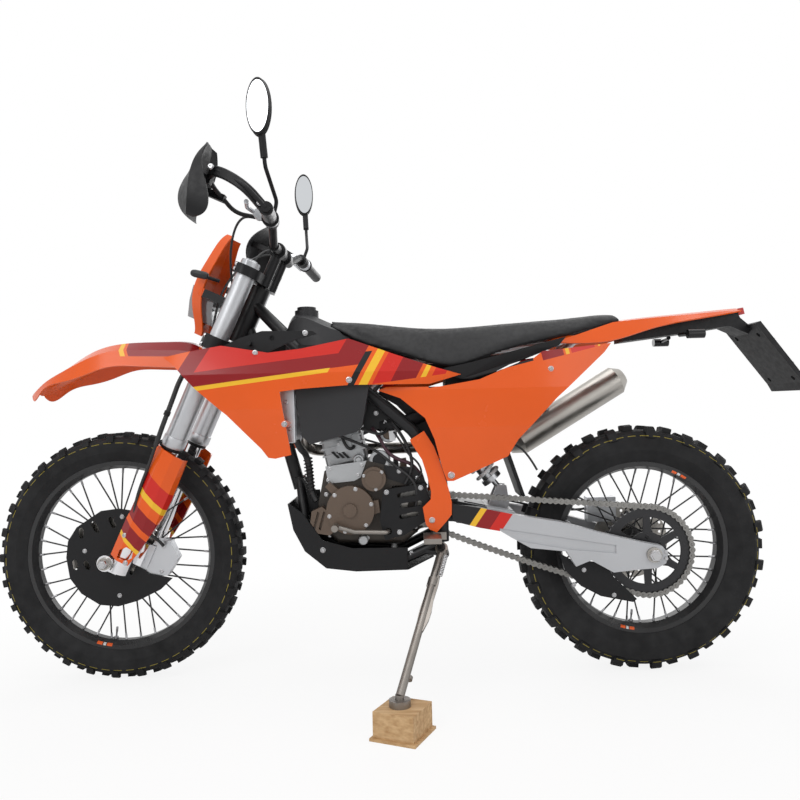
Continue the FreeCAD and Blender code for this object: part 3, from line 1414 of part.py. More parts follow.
def rear_caliper():
    block = Part.makeBox(84, 36, 60, Vector(612, 52, 404))
    slot = Part.makeBox(90, s.disc_thickness + 3, 70, Vector(610, s.rear_disc_side - HALF * s.disc_thickness - 1.5, 394))
    bore = rod(s.axle_radius + 6.3, REAR_AXLE, REAR_AXLE + Vector(0, 130, 0))
    carrier = prism([(624, 450), (690, 450), (768, 360), (764, 318), (716, 320), (640, 404)], 86, 93.7)
    bridge = Part.makeBox(84, 36, 12, Vector(612, 52, 464))
    node("rear_caliper", fused([block.cut(slot), bridge, carrier]).cut(bore))


def airbox():
    box = prism([(196, 856), (196, 716), (236, 690), (330, 764), (340, 860)], -70, 66)
    low, high = shock_ends()
    box = box.cut(rod(46, low, high + (high - low)))
    flap = prism([(322, 766), (364, 612), (402, 496), (412, 500), (374, 616), (334, 768)], -58, 58)
    node("airbox", fused([box, flap]))


def intake():
    deck = engine_deck()
    pipe = tube([deck.multVec(Vector(64.3, -10, 172)), deck.multVec(Vector(90, -10, 172)), Vector(6, -40, 706),
                 Vector(60, -50, 706), Vector(150, -50, 738), Vector(195.7, -50, 738)], 19, 24)
    barrel = rod(27, Vector(14, -42, 705), Vector(54, -49, 705))
    node("throttle_body", fused([pipe, barrel]))


def wood_block():
    """The wooden block on its board under the stand's foot, upright while the bike leans."""
    pieces = []
    for length, width, low, high in (
            (s.block_length, s.block_width, s.block_board, s.block_height),
            (s.block_length + s.block_board * 2, s.block_width + s.block_board * 2, 0, s.block_board)):
        pieces.append(Part.makeBox(length, width, high - low, Vector(-HALF * length, -HALF * width, low)))
    block = fused(pieces)
    node("wood_block", block, Placement(Vector(s.stand_foot_x + 6, -s.stand_foot_side, 0),
                                        Rotation(Z_AXIS, -s.block_yaw_angle)))


STOWED_SHARES = (0.984, -0.117, 0.119)


def stand_pivot():
    return Vector(s.stand_pivot_x, -s.stand_pivot_side, s.stand_pivot_z)


def stand_foot():
    """The middle of the foot's sole, just over the block."""
    return LEAN.inverse().multVec(Vector(s.stand_foot_x, -s.stand_foot_side, s.block_height + s.seat_gap))


def stand_axis():
    """The pivot bolt's direction: the leg swings about it from the floor to the rear."""
    axis = (stand_foot() - stand_pivot()).cross(Vector(*STOWED_SHARES))
    axis.normalize()
    return axis


def stand_lug():
    """The frame's lug and bolt for the stand's eye."""
    inward = -stand_axis()
    seat = stand_pivot() + inward * (HALF * s.stand_eye_width + s.seat_gap)
    plate = rod(s.stand_eye_radius, seat, seat + inward * 14)
    web = rod(8, seat + inward * 9, Vector(120, -96, 362))
    bolt = rod(s.stand_pin_radius, seat, stand_pivot() - inward * (HALF * s.stand_eye_width + s.seat_gap))
    head = rod(s.stand_pin_radius + 4, stand_pivot() - inward * (HALF * s.stand_eye_width + s.seat_gap),
               stand_pivot() - inward * (HALF * s.stand_eye_width + 6))
    return [plate, web, bolt, head]


def side_stand():
    """A leg from a lug under the left cradle to a flat foot on the block."""
    foot = stand_foot()
    up = LEAN.inverse().Rotation.multVec(Z_AXIS)
    top = stand_pivot()
    half = stand_axis() * (HALF * s.stand_eye_width)
    pad = Part.makeCylinder(s.stand_foot_radius, s.stand_foot_thickness, foot, up)
    leg = rod(s.stand_leg_radius, foot + up * (s.stand_foot_thickness + s.stand_leg_radius * HALF), top)
    neck = Part.makeCylinder(s.stand_leg_radius, s.stand_foot_thickness + s.stand_leg_radius, foot, up)
    eye = rod(s.stand_eye_radius, top - half, top + half)
    bore = rod(s.stand_pin_radius + s.axle_running_gap, top - half * 2, top + half * 2)
    collar = rod(s.stand_eye_radius + 2, top + half, top + half * 2)
    other = rod(s.stand_eye_radius + 2, top - half, top - half * 3)
    along = top - foot
    along.normalize()
    bulge = rod(s.stand_leg_radius + 4, top - along * 120, top - along * 96)
    band = rod(s.stand_leg_radius + 2, foot + along * 62, foot + along * 70)
    body = fused([pad, neck, leg, eye, bulge, band])
    node("side_stand", body.cut(bore).cut(collar).cut(other))


wheels()
chain()
fork()
front_axle()
clamps()
fork_guards()
front_caliper()
disc_guard()
handlebar()
controls()
hand_guards()
mirrors()
headlamp_mask()
front_fender()
frame_shape = frame()
subframe(frame_shape)
engine()
exhaust()
radiators()
fuel_tank()
seat()
shrouds()
side_panels()
tail(rear_fender())
skid_plate()
frame_guards()
swingarm()
rear_axle()
chain_guards()
shock()
foot_controls()
rear_caliper()
airbox()
intake()
wood_block()
side_stand()

DOC.recompute()


def stand_on_origin():
    """Moves the bike so that the origin is on the floor under the middle of its box."""
    box = FreeCAD.BoundBox()
    for piece in NODES:
        box.add(piece.Shape.optimalBoundingBox(False))
    shift = Placement(Vector(-box.Center.x, -box.Center.y, -box.ZMin), Rotation())
    for piece in NODES:
        piece.Placement = shift * piece.Placement
    return shift


SHIFT = stand_on_origin()
for item in DOC.Objects:
    if "Invalid" in item.State or "Error" in item.State:
        raise RuntimeError(f"{item.Label} failed: {item.State}")
os.makedirs("parts", exist_ok=True)
for piece in NODES:
    if piece.Shape.isNull() or not piece.Shape.isValid():
        raise RuntimeError(f"{piece.Label} has no valid shape")
for piece in NODES:
    piece.Shape.exportStep(f"parts/{piece.Label}.step")
print(len(NODES), "sub-parts written")
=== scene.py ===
import json
import math

import bmesh
import bpy
from mathutils import Matrix, Vector
from mathutils.bvhtree import BVHTree


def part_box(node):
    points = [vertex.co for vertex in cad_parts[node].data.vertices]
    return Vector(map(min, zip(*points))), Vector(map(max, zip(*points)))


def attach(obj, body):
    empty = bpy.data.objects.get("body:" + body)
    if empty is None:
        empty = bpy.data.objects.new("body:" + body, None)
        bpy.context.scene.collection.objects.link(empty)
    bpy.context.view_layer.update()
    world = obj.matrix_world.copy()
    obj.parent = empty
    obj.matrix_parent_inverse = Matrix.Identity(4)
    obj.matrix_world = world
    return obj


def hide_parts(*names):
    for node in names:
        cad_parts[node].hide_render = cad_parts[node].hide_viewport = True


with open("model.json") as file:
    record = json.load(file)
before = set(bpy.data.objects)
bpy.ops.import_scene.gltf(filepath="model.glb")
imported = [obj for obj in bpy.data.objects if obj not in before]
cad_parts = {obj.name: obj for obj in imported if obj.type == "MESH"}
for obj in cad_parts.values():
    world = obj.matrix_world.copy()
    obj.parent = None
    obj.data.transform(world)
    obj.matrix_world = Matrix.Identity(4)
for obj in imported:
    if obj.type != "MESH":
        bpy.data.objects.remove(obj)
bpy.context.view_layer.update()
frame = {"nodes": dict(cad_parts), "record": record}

# The bike's own upright frame, in metres: X to the rear, Z up, the rider's left at -Y,
# with the ground under the middle of the wheelbase at its origin.
MM = 0.001
HALF_WHEELBASE = 0.740
FRONT_RADIUS = 0.352
REAR_RADIUS = 0.345
RAKE = math.radians(24.5)
X_AXIS = Vector((1.0, 0.0, 0.0))
Y_AXIS = Vector((0.0, 1.0, 0.0))
Z_AXIS = Vector((0.0, 0.0, 1.0))
FRONT_CENTRE = Vector((-HALF_WHEELBASE, 0.0, FRONT_RADIUS))
REAR_CENTRE = Vector((HALF_WHEELBASE, 0.0, REAR_RADIUS))
JOINTS = {joint["name"]: joint for joint in frame["record"]["behaviour"]["joints"]}
AXLE = JOINTS["front_wheel_spin"]["axis"]
LEAN = math.atan2(AXLE[2], AXLE[1])
LEAN_TURN = Matrix.Rotation(LEAN, 4, "X")
LEAN_SHIFT = Vector(JOINTS["front_wheel_spin"]["pos_m"]) - LEAN_TURN @ FRONT_CENTRE
BIKE = Matrix.Translation(LEAN_SHIFT) @ LEAN_TURN
FORK = BIKE @ Matrix.Translation(FRONT_CENTRE) @ Matrix.Rotation(RAKE, 4, "Y")
BIKE_TURN = BIKE.to_3x3()
LEFTWARD = (BIKE_TURN @ -Y_AXIS).normalized()
REARWARD = (BIKE_TURN @ X_AXIS).normalized()
FORK_UP = (FORK.to_3x3() @ Z_AXIS).normalized()
FORK_FORWARD = (FORK.to_3x3() @ -X_AXIS).normalized()
SIDES = (-1, 1)

WHITE = (1.0, 1.0, 1.0, 1.0)
# The range that holds most of a noise pattern's values.
NOISE_LOW, NOISE_HIGH = 0.3, 0.7


# Node trees

class Nodes:
    """A node tree, with short calls for what its builders share."""

    def __init__(self, tree):
        self.tree = tree

    def put(self, socket, value):
        """Links an output, or writes a constant."""
        if isinstance(value, bpy.types.NodeSocket):
            self.tree.links.new(value, socket)
        else:
            socket.default_value = value

    def node(self, kind, inputs=None, **settings):
        """A new node, with its settings and what goes into its inputs."""
        made = self.tree.nodes.new("ShaderNode" + kind)
        for key, value in settings.items():
            setattr(made, key, value)
        for key, value in (inputs or {}).items():
            self.put(made.inputs[key], value)
        return made

    def math(self, operation, first, second=0.0):
        return self.node("Math", {0: first, 1: second}, operation=operation).outputs[0]

    def over(self, value, limit):
        return self.math("GREATER_THAN", value, limit)

    def under(self, value, limit):
        return self.math("LESS_THAN", value, limit)

    def both(self, first, second):
        return self.math("MULTIPLY", first, second)

    def spread(self, value, low, high, start=NOISE_LOW, end=NOISE_HIGH):
        """Maps a value's range from start to end onto low to high."""
        inputs = {"Value": value, "From Min": start, "From Max": end, "To Min": low, "To Max": high}
        return self.node("MapRange", inputs).outputs[0]


class Finish(Nodes):
    """A material's nodes, with the patterns that the finishes share."""

    def __init__(self, name, roughness, metallic=0.0, sheen=0.5):
        self.name = name
        self.material = bpy.data.materials.new(name)
        self.material.use_nodes = True
        super().__init__(self.material.node_tree)
        self.place = self.node("TexCoord").outputs["Object"]
        self.surface("Roughness", roughness)
        self.surface("Metallic", metallic)
        self.surface("Specular IOR Level", sheen)

    def surface(self, key, value):
        self.put(self.tree.nodes["Principled BSDF"].inputs[key], value)

    def noise(self, scale, detail=4.0, place=None):
        inputs = {"Scale": scale, "Detail": detail, "Vector": place or self.place}
        return self.node("TexNoise", inputs).outputs["Fac"]

    def mix(self, share, first, second):
        inputs = {"Factor": share, "A": first, "B": second}
        return self.node("Mix", inputs, data_type="RGBA").outputs["Result"]

    def tone(self, dark, light, scale):
        """A slow change from a dark to a light tone."""
        return self.mix(self.spread(self.noise(scale), 0.0, 1.0), dark, light)

    def rough(self, low, high, scale):
        self.surface("Roughness", self.spread(self.noise(scale), low, high))

    def bump(self, height, distance, strength=1.0):
        inputs = {"Height": height, "Distance": distance, "Strength": strength}
        self.surface("Normal", self.node("Bump", inputs).outputs[0])

    def bike_place(self):
        """The point in the bike's upright frame."""
        inputs = {"Vector": self.place, "Location": LEAN_SHIFT, "Rotation": (LEAN, 0.0, 0.0)}
        return self.node("Mapping", inputs, vector_type="TEXTURE").outputs[0]

    def band(self, place, direction, start, end):
        """1 between two lines across a direction, else 0."""
        value = self.node("VectorMath", {0: place, 1: direction}, operation="DOT_PRODUCT").outputs["Value"]
        return self.both(self.over(value, start), self.under(value, end))

    def polar(self, centre):
        """A point's reach from a wheel's axle and its angle round it, in the side view."""
        move = self.node("VectorMath", {0: self.bike_place(), 1: centre}, operation="SUBTRACT").outputs[0]
        split = self.node("SeparateXYZ", {0: move}).outputs
        squares = self.math("ADD", self.both(split["X"], split["X"]), self.both(split["Z"], split["Z"]))
        return self.math("SQRT", squares), self.math("ARCTAN2", split["Z"], split["X"])

    def ring(self, reach, radius, half_width):
        """1 close to a circle round the axle, else 0."""
        return self.under(self.math("ABSOLUTE", self.math("SUBTRACT", reach, radius)), half_width)


# Camera, light and floor

CAMERA_PLACE = Vector((0.095, -1.900, 0.758))
# Degrees about an axis, in the order in which they turn the camera from level to its view.
CAMERA_TURNS = [(0.81, "Z"), (0.56, "X"), (1.39, "Y"), (90.0, "X")]
FOCAL_LENGTH = 658.0 / 800.0
SENSOR_WIDTH = 36.0
NEAREST, FARTHEST = 0.05, 60.0

SKY_LEVEL = 0.52
# name, place, target, size, power
LIGHTS = [
    ("key_light", (-1.6, -3.2, 2.6), (0.0, 0.0, 0.6), (2.2, 1.6), 40.0),
    ("top_light", (0.3, -0.3, 3.4), (0.0, 0.0, 0.6), (3.2, 2.0), 34.0),
    ("fill_light", (2.6, -2.6, 1.2), (0.1, 0.0, 0.6), (1.6, 1.6), 12.0),
    ("far_light", (0.2, 3.4, 2.2), (0.0, 0.0, 0.6), (3.0, 1.6), 26.0),
]

FLOOR_SIZE = 40.0
FLOOR_COLOUR = (0.93, 0.93, 0.93, 1.0)
FLOOR_ROUGHNESS = 0.85
# The shares of plain white seen near the bike and far off, and the distances between which they change.
WHITE_NEAR, WHITE_FAR = 0.86, 1.0
FADE_START, FADE_END = 0.8, 2.2


def set_camera():
    """The photograph's view, square on to the bike's left side."""
    look = LEAN_TURN
    for angle, axis in CAMERA_TURNS:
        look = look @ Matrix.Rotation(math.radians(angle), 4, axis)
    data = bpy.data.cameras.new("camera")
    data.sensor_width = SENSOR_WIDTH
    data.lens = FOCAL_LENGTH * SENSOR_WIDTH
    data.clip_start = NEAREST
    data.clip_end = FARTHEST
    camera = bpy.data.objects.new("camera", data)
    camera.matrix_world = Matrix.Translation(BIKE @ CAMERA_PLACE) @ look
    bpy.context.collection.objects.link(camera)
    bpy.context.scene.camera = camera


def area_light(name, place, target, size, power):
    data = bpy.data.lights.new(name, "AREA")
    data.shape = "RECTANGLE"
    data.size, data.size_y = size
    data.energy = power
    light = bpy.data.objects.new(name, data)
    light.location = place
    light.rotation_mode = "QUATERNION"
    light.rotation_quaternion = (Vector(target) - Vector(place)).to_track_quat("-Z", "Y")
    bpy.context.collection.objects.link(light)


def set_light():
    """Soft boxes above and beside the bike, with a pale sky all round."""
    world = bpy.data.worlds.new("studio")
    bpy.context.scene.world = world
    world.use_nodes = True
    nodes = Nodes(world.node_tree)
    rays = nodes.node("LightPath").outputs
    clear = nodes.math("MAXIMUM", rays["Is Transmission Ray"], rays["Is Glossy Ray"])
    seen = nodes.math("MAXIMUM", rays["Is Camera Ray"], clear)
    sky = nodes.tree.nodes["Background"].inputs
    nodes.put(sky["Strength"], nodes.spread(seen, SKY_LEVEL, 1.0, 0.0, 1.0))
    nodes.put(sky["Color"], WHITE)
    for light in LIGHTS:
        area_light(*light)


def make_floor():
    """A pale floor that fades into plain white away from the bike."""
    bpy.ops.mesh.primitive_plane_add(size=FLOOR_SIZE, location=(0.0, 0.0, 0.0))
    floor = bpy.context.object
    floor.name = "floor"
    made = Finish("floor_paint", FLOOR_ROUGHNESS)
    made.surface("Base Color", FLOOR_COLOUR)
    reach = made.node("VectorMath", {0: made.place}, operation="LENGTH").outputs["Value"]
    fade = made.spread(reach, WHITE_NEAR, WHITE_FAR, FADE_START, FADE_END)
    fade.node.interpolation_type = "SMOOTHSTEP"
    rays = made.node("LightPath").outputs
    seen = made.math("MAXIMUM", rays["Is Camera Ray"], rays["Is Transmission Ray"])
    nodes = made.tree.nodes
    paint, glow = nodes["Principled BSDF"].outputs[0], made.node("Emission").outputs[0]
    blend = made.node("MixShader", {0: made.both(seen, fade), 1: paint, 2: glow})
    made.put(nodes["Material Output"].inputs["Surface"], blend.outputs[0])
    floor.data.materials.append(made.material)


# Materials

def rgba(red, green, blue):
    return (red, green, blue, 1.0)


def scaled(colour, factor):
    return rgba(*(min(1.0, channel * factor) for channel in colour[:3]))


ORANGE = rgba(0.82, 0.112, 0.012)
DEEP_RED = rgba(0.27, 0.010, 0.012)
RED = rgba(0.62, 0.022, 0.014)
YELLOW = rgba(0.88, 0.50, 0.03)
INK = rgba(0.010, 0.010, 0.011)
PALE = rgba(0.7, 0.7, 0.7)
ARM_SILVER = rgba(0.50, 0.51, 0.53)
LENS_RED = rgba(0.45, 0.012, 0.010)
RIM_DARK, RIM_LIGHT = rgba(0.012, 0.012, 0.013), rgba(0.022, 0.022, 0.023)
TYRE_DARK, TYRE_LIGHT = rgba(0.007, 0.007, 0.0075), rgba(0.014, 0.014, 0.015)
TYRE_YELLOW = rgba(0.26, 0.21, 0.04)
WOOD_DARK, WOOD_LIGHT = rgba(0.42, 0.24, 0.10), rgba(0.66, 0.45, 0.24)

LEAST_ROUGHNESS = 0.02
# colour, roughness, metal, scale of the grain, height of the grain, change of tone, sheen
PLAIN_FINISHES = {
    "black_alloy": ((0.012, 0.012, 0.013), 0.34, 0.2, 600.0, 0.00006, 0.10, 0.3),
    "black_metal": ((0.011, 0.011, 0.012), 0.36, 0.0, 500.0, 0.0001, 0.10, 0.3),
    "black_plastic": ((0.009, 0.009, 0.010), 0.46, 0.0, 700.0, 0.00015, 0.10, 0.25),
    "smoke_plastic": ((0.026, 0.026, 0.028), 0.42, 0.0, 500.0, 0.0001, 0.10, 0.3),
    "silver_alloy": ((0.54, 0.55, 0.57), 0.36, 0.9, 500.0, 0.00008, 0.06),
    "cast_alloy": ((0.42, 0.43, 0.44), 0.46, 0.85, 260.0, 0.0003, 0.06),
    "bare_steel": ((0.42, 0.40, 0.37), 0.32, 1.0, 400.0, 0.00008, 0.12),
    "forged_steel": ((0.26, 0.24, 0.22), 0.38, 0.95, 90.0, 0.0004, 0.25),
    # The engine cases' near-black brown is painted shade, standing in for the dark between the covers and the
    # cylinder.
    "case_painted_shade": ((0.045, 0.038, 0.032), 0.50, 0.4, 240.0, 0.0003, 0.15),
    "white_plastic": ((0.70, 0.71, 0.72), 0.4, 0.0, 300.0, 0.0001, 0.05),
    "wire_cover": ((0.055, 0.020, 0.030), 0.5, 0.0, 400.0, 0.0001, 0.2),
    "chrome_tube": ((0.78, 0.78, 0.80), 0.10, 1.0, 600.0, 0.00002, 0.06),
    "bronze_paint": ((0.118, 0.084, 0.062), 0.44, 0.35, 300.0, 0.0002, 0.10),
    "chain_steel": ((0.24, 0.235, 0.225), 0.38, 0.95, 300.0, 0.0001, 0.2),
    "seat_vinyl": ((0.010, 0.010, 0.011), 0.52, 0.0, 900.0, 0.0004, 0.10, 0.3),
    "lamp_lens": ((0.30, 0.31, 0.32), 0.08, 0.3, 120.0, 0.0002, 0.10),
    "white_spring": ((0.80, 0.81, 0.82), 0.3, 0.0, 300.0, 0.0001, 0.05),
    "sprocket_steel": ((0.030, 0.030, 0.032), 0.36, 0.5, 400.0, 0.00008, 0.12),
    "bolt_steel": ((0.52, 0.52, 0.53), 0.28, 1.0, 500.0, 0.00005, 0.08),
    "nipple_steel": ((0.30, 0.30, 0.31), 0.35, 0.9, 500.0, 0.00005, 0.08),
    "hose_rubber": ((0.016, 0.016, 0.017), 0.55, 0.0, 800.0, 0.0002, 0.10),
    "mirror_glass": ((0.62, 0.64, 0.66), 0.03, 1.0, 40.0, 0.000002, 0.02),
}


def plain_finish(name, colour, roughness, metallic, grain, bump, change, sheen=0.5):
    """A finish of one colour with slow tone changes, uneven gloss and fine grain."""
    made = Finish(name, roughness, metallic, sheen)
    dark, light = scaled(colour, 1 - change), scaled(colour, 1 + change)
    made.surface("Base Color", made.tone(dark, light, scale=6.0))
    made.rough(max(LEAST_ROUGHNESS, roughness * 0.85), roughness * 1.18, scale=grain * 0.1)
    made.bump(made.noise(grain, detail=2.0), distance=bump)
    return made


def slanted(angle):
    """A direction in the side view, at an angle up from the rear."""
    return (math.cos(math.radians(angle)), 0.0, math.sin(math.radians(angle)))


def marks(directions, rows):
    """Colour blocks: a colour, then its start and its end along each direction in turn, in metres."""
    return [(colour, [(direction, *limits[2 * k:2 * k + 2]) for k, direction in enumerate(directions)])
            for colour, *limits in rows]


# A mark that runs to FAR has no end on the bike.
FAR = 2.0

# A red field along the top of the shroud, with slanted bars behind it, and bars in its lower corner.
SHROUD_MARKS = marks((slanted(97.0), slanted(-28.0)), [
    (DEEP_RED, 0.868, FAR, -0.84, -0.44),
    (RED, 0.905, FAR, -0.80, -0.50),
    (YELLOW, 0.858, 0.869, -0.84, -0.50),
    (INK, 0.812, 0.900, -0.440, -0.425),
    (YELLOW, 0.812, 0.905, -0.415, -0.395),
    (RED, 0.812, FAR, -0.385, -0.345),
    (DEEP_RED, 0.812, FAR, -0.345, -0.290),
    (YELLOW, 0.812, 0.900, -0.280, -0.268),
    (RED, 0.812, 0.900, -0.255, -0.225),
]) + marks((slanted(50.0), slanted(97.0)), [
    (RED, 0.225, 0.262, 0.0, 0.79),
    (DEEP_RED, 0.195, 0.225, 0.0, 0.76),
])

# The black strip under the seat, and bars along the rear of the top edge.
SIDE_MARKS = marks((slanted(103.4), slanted(13.4)), [
    (INK, 0.748, FAR, 0.330, 0.615),
    (DEEP_RED, 0.742, FAR, 0.640, 0.700),
    (YELLOW, 0.742, FAR, 0.706, 0.716),
    (RED, 0.742, FAR, 0.722, 0.790),
    (YELLOW, 0.742, FAR, 0.800, 0.806),
])

# A dark field on top of the fender's rear, with a bright edge.
FENDER_MARKS = marks((slanted(89.0), slanted(20.0)), [
    (DEEP_RED, 0.904, FAR, -0.330, -0.150),
    (YELLOW, 0.904, FAR, -0.350, -0.338),
])

GUARD_MARKS = marks([slanted(40.0)], [
    (RED, -0.125, -0.085),
    (YELLOW, -0.140, -0.125),
    (DEEP_RED, -0.200, -0.165),
    (YELLOW, -0.255, -0.245),
    (DEEP_RED, -0.245, -0.215),
])

# The swingarm's dark front, and the slanted bars on its outer faces.
ARM_MARKS = marks([slanted(0.0)], [(INK, 0.0, 0.300)]) + marks((slanted(-35.0), -Y_AXIS), [
    (YELLOW, -0.045, -0.030, 0.1235, 1.0),
    (DEEP_RED, -0.030, 0.005, 0.1235, 1.0),
    (RED, 0.005, 0.035, 0.1235, 1.0),
])

# The black arms that reach back from the lamp mask to the fork.
MASK_MARKS = marks((slanted(-24.5), slanted(65.5)), [(INK, -0.874, -0.700, 0.780, 0.809)])

TAIL_MARKS = marks([slanted(0.0)], [(LENS_RED, 0.99, FAR)])

# name, ground, marks, and roughness where it isn't the usual one
TRIM_FINISHES = [
    ("orange_plastic", ORANGE, []),
    ("fender_plastic", ORANGE, FENDER_MARKS),
    ("mask_plastic", ORANGE, MASK_MARKS),
    ("shroud_plastic", ORANGE, SHROUD_MARKS),
    ("fork_guard_plastic", ORANGE, GUARD_MARKS),
    ("side_plastic", ORANGE, SIDE_MARKS),
    ("arm_alloy", ARM_SILVER, ARM_MARKS, 0.34),
    ("tail_lens", INK, TAIL_MARKS, 0.15),
]


def trim_finish(name, ground, blocks, roughness=0.22):
    """Gloss plastic with slanted colour blocks."""
    made = Finish(name, roughness, sheen=0.28)
    place = made.bike_place()
    tone = made.tone(scaled(ground, 0.92), ground, scale=5.0)
    for colour, limits in blocks:
        share = None
        for limit in limits:
            here = made.band(place, *limit)
            share = here if share is None else made.both(share, here)
        tone = made.mix(share, tone, colour)
    made.surface("Base Color", tone)
    made.rough(roughness * 0.8, roughness * 1.25, scale=18.0)
    made.surface("Coat Weight", 0.12)
    made.surface("Coat Roughness", 0.08)
    made.bump(made.noise(420.0, detail=2.0), distance=0.00012, strength=0.5)
    return made


# Where the bars lie on the front and the rear rim.
FRONT_BAR_RADIUS, REAR_BAR_RADIUS = 0.2575, 0.2295
RIM_RING_HALF = 0.0035
# start and end angle round the rim, colour
RIM_BARS = [
    (-1.86, -1.80, ORANGE), (-1.79, -1.76, PALE), (-1.75, -1.69, ORANGE),
    (0.98, 1.05, ORANGE), (1.06, 1.10, PALE), (1.11, 1.17, ORANGE),
]


def rim_finish(name, centre, radius):
    """Black rim with short orange and pale bars in two places."""
    made = Finish(name, 0.32)
    reach, angle = made.polar(centre)
    ring = made.ring(reach, radius, RIM_RING_HALF)
    tone = made.tone(RIM_DARK, RIM_LIGHT, scale=8.0)
    for start, end, colour in RIM_BARS:
        here = made.both(made.over(angle, start), made.under(angle, end))
        tone = made.mix(made.both(ring, here), tone, colour)
    made.surface("Base Color", tone)
    made.rough(low=0.26, high=0.40, scale=20.0)
    made.bump(made.noise(500.0, detail=2.0), distance=0.00006, strength=0.5)
    return made


# How far the line lies inside the tread, and half its width.
TYRE_LINE_INSET, TYRE_LINE_HALF = 0.030, 0.0010
TYRE_DASHES = 58.0
DASH_LEVEL = -0.45


def tyre_finish(name, centre, radius):
    """Black rubber with a thin broken yellow line round the side wall."""
    made = Finish(name, 0.72, sheen=0.3)
    reach, angle = made.polar(centre)
    dashes = made.over(made.math("SINE", made.both(angle, TYRE_DASHES)), DASH_LEVEL)
    line = made.both(made.ring(reach, radius, TYRE_LINE_HALF), dashes)
    made.surface("Base Color", made.mix(line, made.tone(TYRE_DARK, TYRE_LIGHT, scale=9.0), TYRE_YELLOW))
    made.rough(low=0.62, high=0.85, scale=30.0)
    made.bump(made.noise(500.0, detail=3.0), distance=0.0003, strength=0.6)
    return made


def wood_finish(name):
    """Pale wood with its grain along X."""
    made = Finish(name, 0.7)
    stretch = made.node("Mapping", {"Vector": made.place, "Scale": (6.0, 60.0, 60.0)})
    grain = made.noise(2.0, detail=6.0, place=stretch.outputs[0])
    made.surface("Base Color", made.mix(made.spread(grain, 0.0, 1.0), WOOD_DARK, WOOD_LIGHT))
    made.rough(low=0.6, high=0.8, scale=12.0)
    made.bump(grain, distance=0.0008, strength=0.7)
    return made


def make_finishes():
    """Every material, by its name."""
    made = [plain_finish(name, *values) for name, values in PLAIN_FINISHES.items()]
    made += [trim_finish(*row) for row in TRIM_FINISHES]
    made += [
        tyre_finish("front_rubber", FRONT_CENTRE, FRONT_RADIUS - TYRE_LINE_INSET),
        tyre_finish("rear_rubber", REAR_CENTRE, REAR_RADIUS - TYRE_LINE_INSET),
        rim_finish("front_rim_paint", FRONT_CENTRE, FRONT_BAR_RADIUS),
        rim_finish("rear_rim_paint", REAR_CENTRE, REAR_BAR_RADIUS),
        wood_finish("block_wood"),
    ]
    return {finish.name: finish.material for finish in made}


NODES_BY_FINISH = {
    "front_rubber": "front_tyre",
    "rear_rubber": "rear_tyre",
    "front_rim_paint": "front_rim",
    "rear_rim_paint": "rear_rim",
    "orange_plastic": "rear_fender frame_guards",
    "fender_plastic": "front_fender",
    "mask_plastic": "headlamp_mask",
    "shroud_plastic": "shrouds",
    "fork_guard_plastic": "fork_guards",
    "side_plastic": "side_panels",
    "arm_alloy": "swingarm",
    "black_alloy": "front_hub rear_hub triple_clamps",
    "black_metal": "handlebar frame",
    "black_plastic": "disc_guard hand_guards mirrors shroud_wings plate_bracket skid_plate chain_guards"
                     " airbox throttle_body",
    "smoke_plastic": "fuel_tank",
    "silver_alloy": "fork_tubes front_caliper hand_controls subframe radiators shock_body rear_caliper",
    "cast_alloy": "engine_cylinder",
    "bare_steel": "front_disc rear_disc rear_sprocket front_sprocket front_axle rear_axle exhaust_pipe"
                  " muffler",
    "forged_steel": "side_stand foot_controls",
    # The engine cases get the near-black finish that is painted shade.
    "case_painted_shade": "engine_cases",
    "chrome_tube": "fork_legs",
    "bronze_paint": "engine_covers",
    "chain_steel": "chain",
    "seat_vinyl": "seat",
    "lamp_lens": "headlamp",
    "tail_lens": "tail_lights",
    "white_spring": "shock_spring",
    "block_wood": "wood_block",
}


def dress_nodes():
    for finish, names in NODES_BY_FINISH.items():
        for name in names.split():
            slots = frame["nodes"][name].data.materials
            slots.clear()
            slots.append(FINISHES[finish])


# Mesh helpers

SMOOTH_LIMIT = math.radians(38)


def on_bike(x, y, z):
    """A point given in millimetres of the bike's upright frame."""
    return BIKE @ Vector((x * MM, y * MM, z * MM))


def on_fork(x, y, z):
    """A point given in millimetres of the fork's frame: x behind the axle, z along the legs."""
    return FORK @ Vector((x * MM, y * MM, z * MM))


def polar(radius, angle, across=0.0):
    """A point round an axle, as seen from the side."""
    return Vector((radius * math.cos(angle), across, radius * math.sin(angle)))


def skin(bm, loops, capped=True):
    """Faces between neighbouring loops of points, and over the first and the last loop."""
    for first, second in zip(loops, loops[1:]):
        for k in range(max(len(first), len(second))):
            corners = [first[k % len(first)], first[(k + 1) % len(first)],
                       second[(k + 1) % len(second)], second[k % len(second)]]
            corners = list(dict.fromkeys(corners))
            if len(corners) > 2:
                bm.faces.new(corners)
    if capped:
        bm.faces.new(loops[0])
        bm.faces.new(loops[-1])


def turned(bm, place, direction, profile, segments):
    """Adds a form turned about a line, from (radius, along) pairs in millimetres."""
    direction = Vector(direction).normalized()
    turn = direction.to_track_quat("Z", "Y").to_matrix()
    loops = []
    for radius, along in profile:
        angles = [math.tau * k / segments for k in range(segments)] if radius else [0.0]
        points = [Vector((radius * math.cos(angle), radius * math.sin(angle), along)) for angle in angles]
        loops.append([bm.verts.new(place + turn @ (point * MM)) for point in points])
    skin(bm, loops, capped=False)


def finish_piece(bm, name, finish, body, smooth=True):
    """Writes the mesh as a piece that rides on a body."""
    bmesh.ops.recalc_face_normals(bm, faces=bm.faces)
    data = bpy.data.meshes.new(name)
    bm.to_mesh(data)
    bm.free()
    piece = bpy.data.objects.new(name, data)
    bpy.context.collection.objects.link(piece)
    data.materials.append(FINISHES[finish])
    if smooth:
        for face in data.polygons:
            face.use_smooth = True
        bpy.context.view_layer.objects.active = piece
        data.set_sharp_from_angle(angle=SMOOTH_LIMIT)
    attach(piece, body)
    return piece


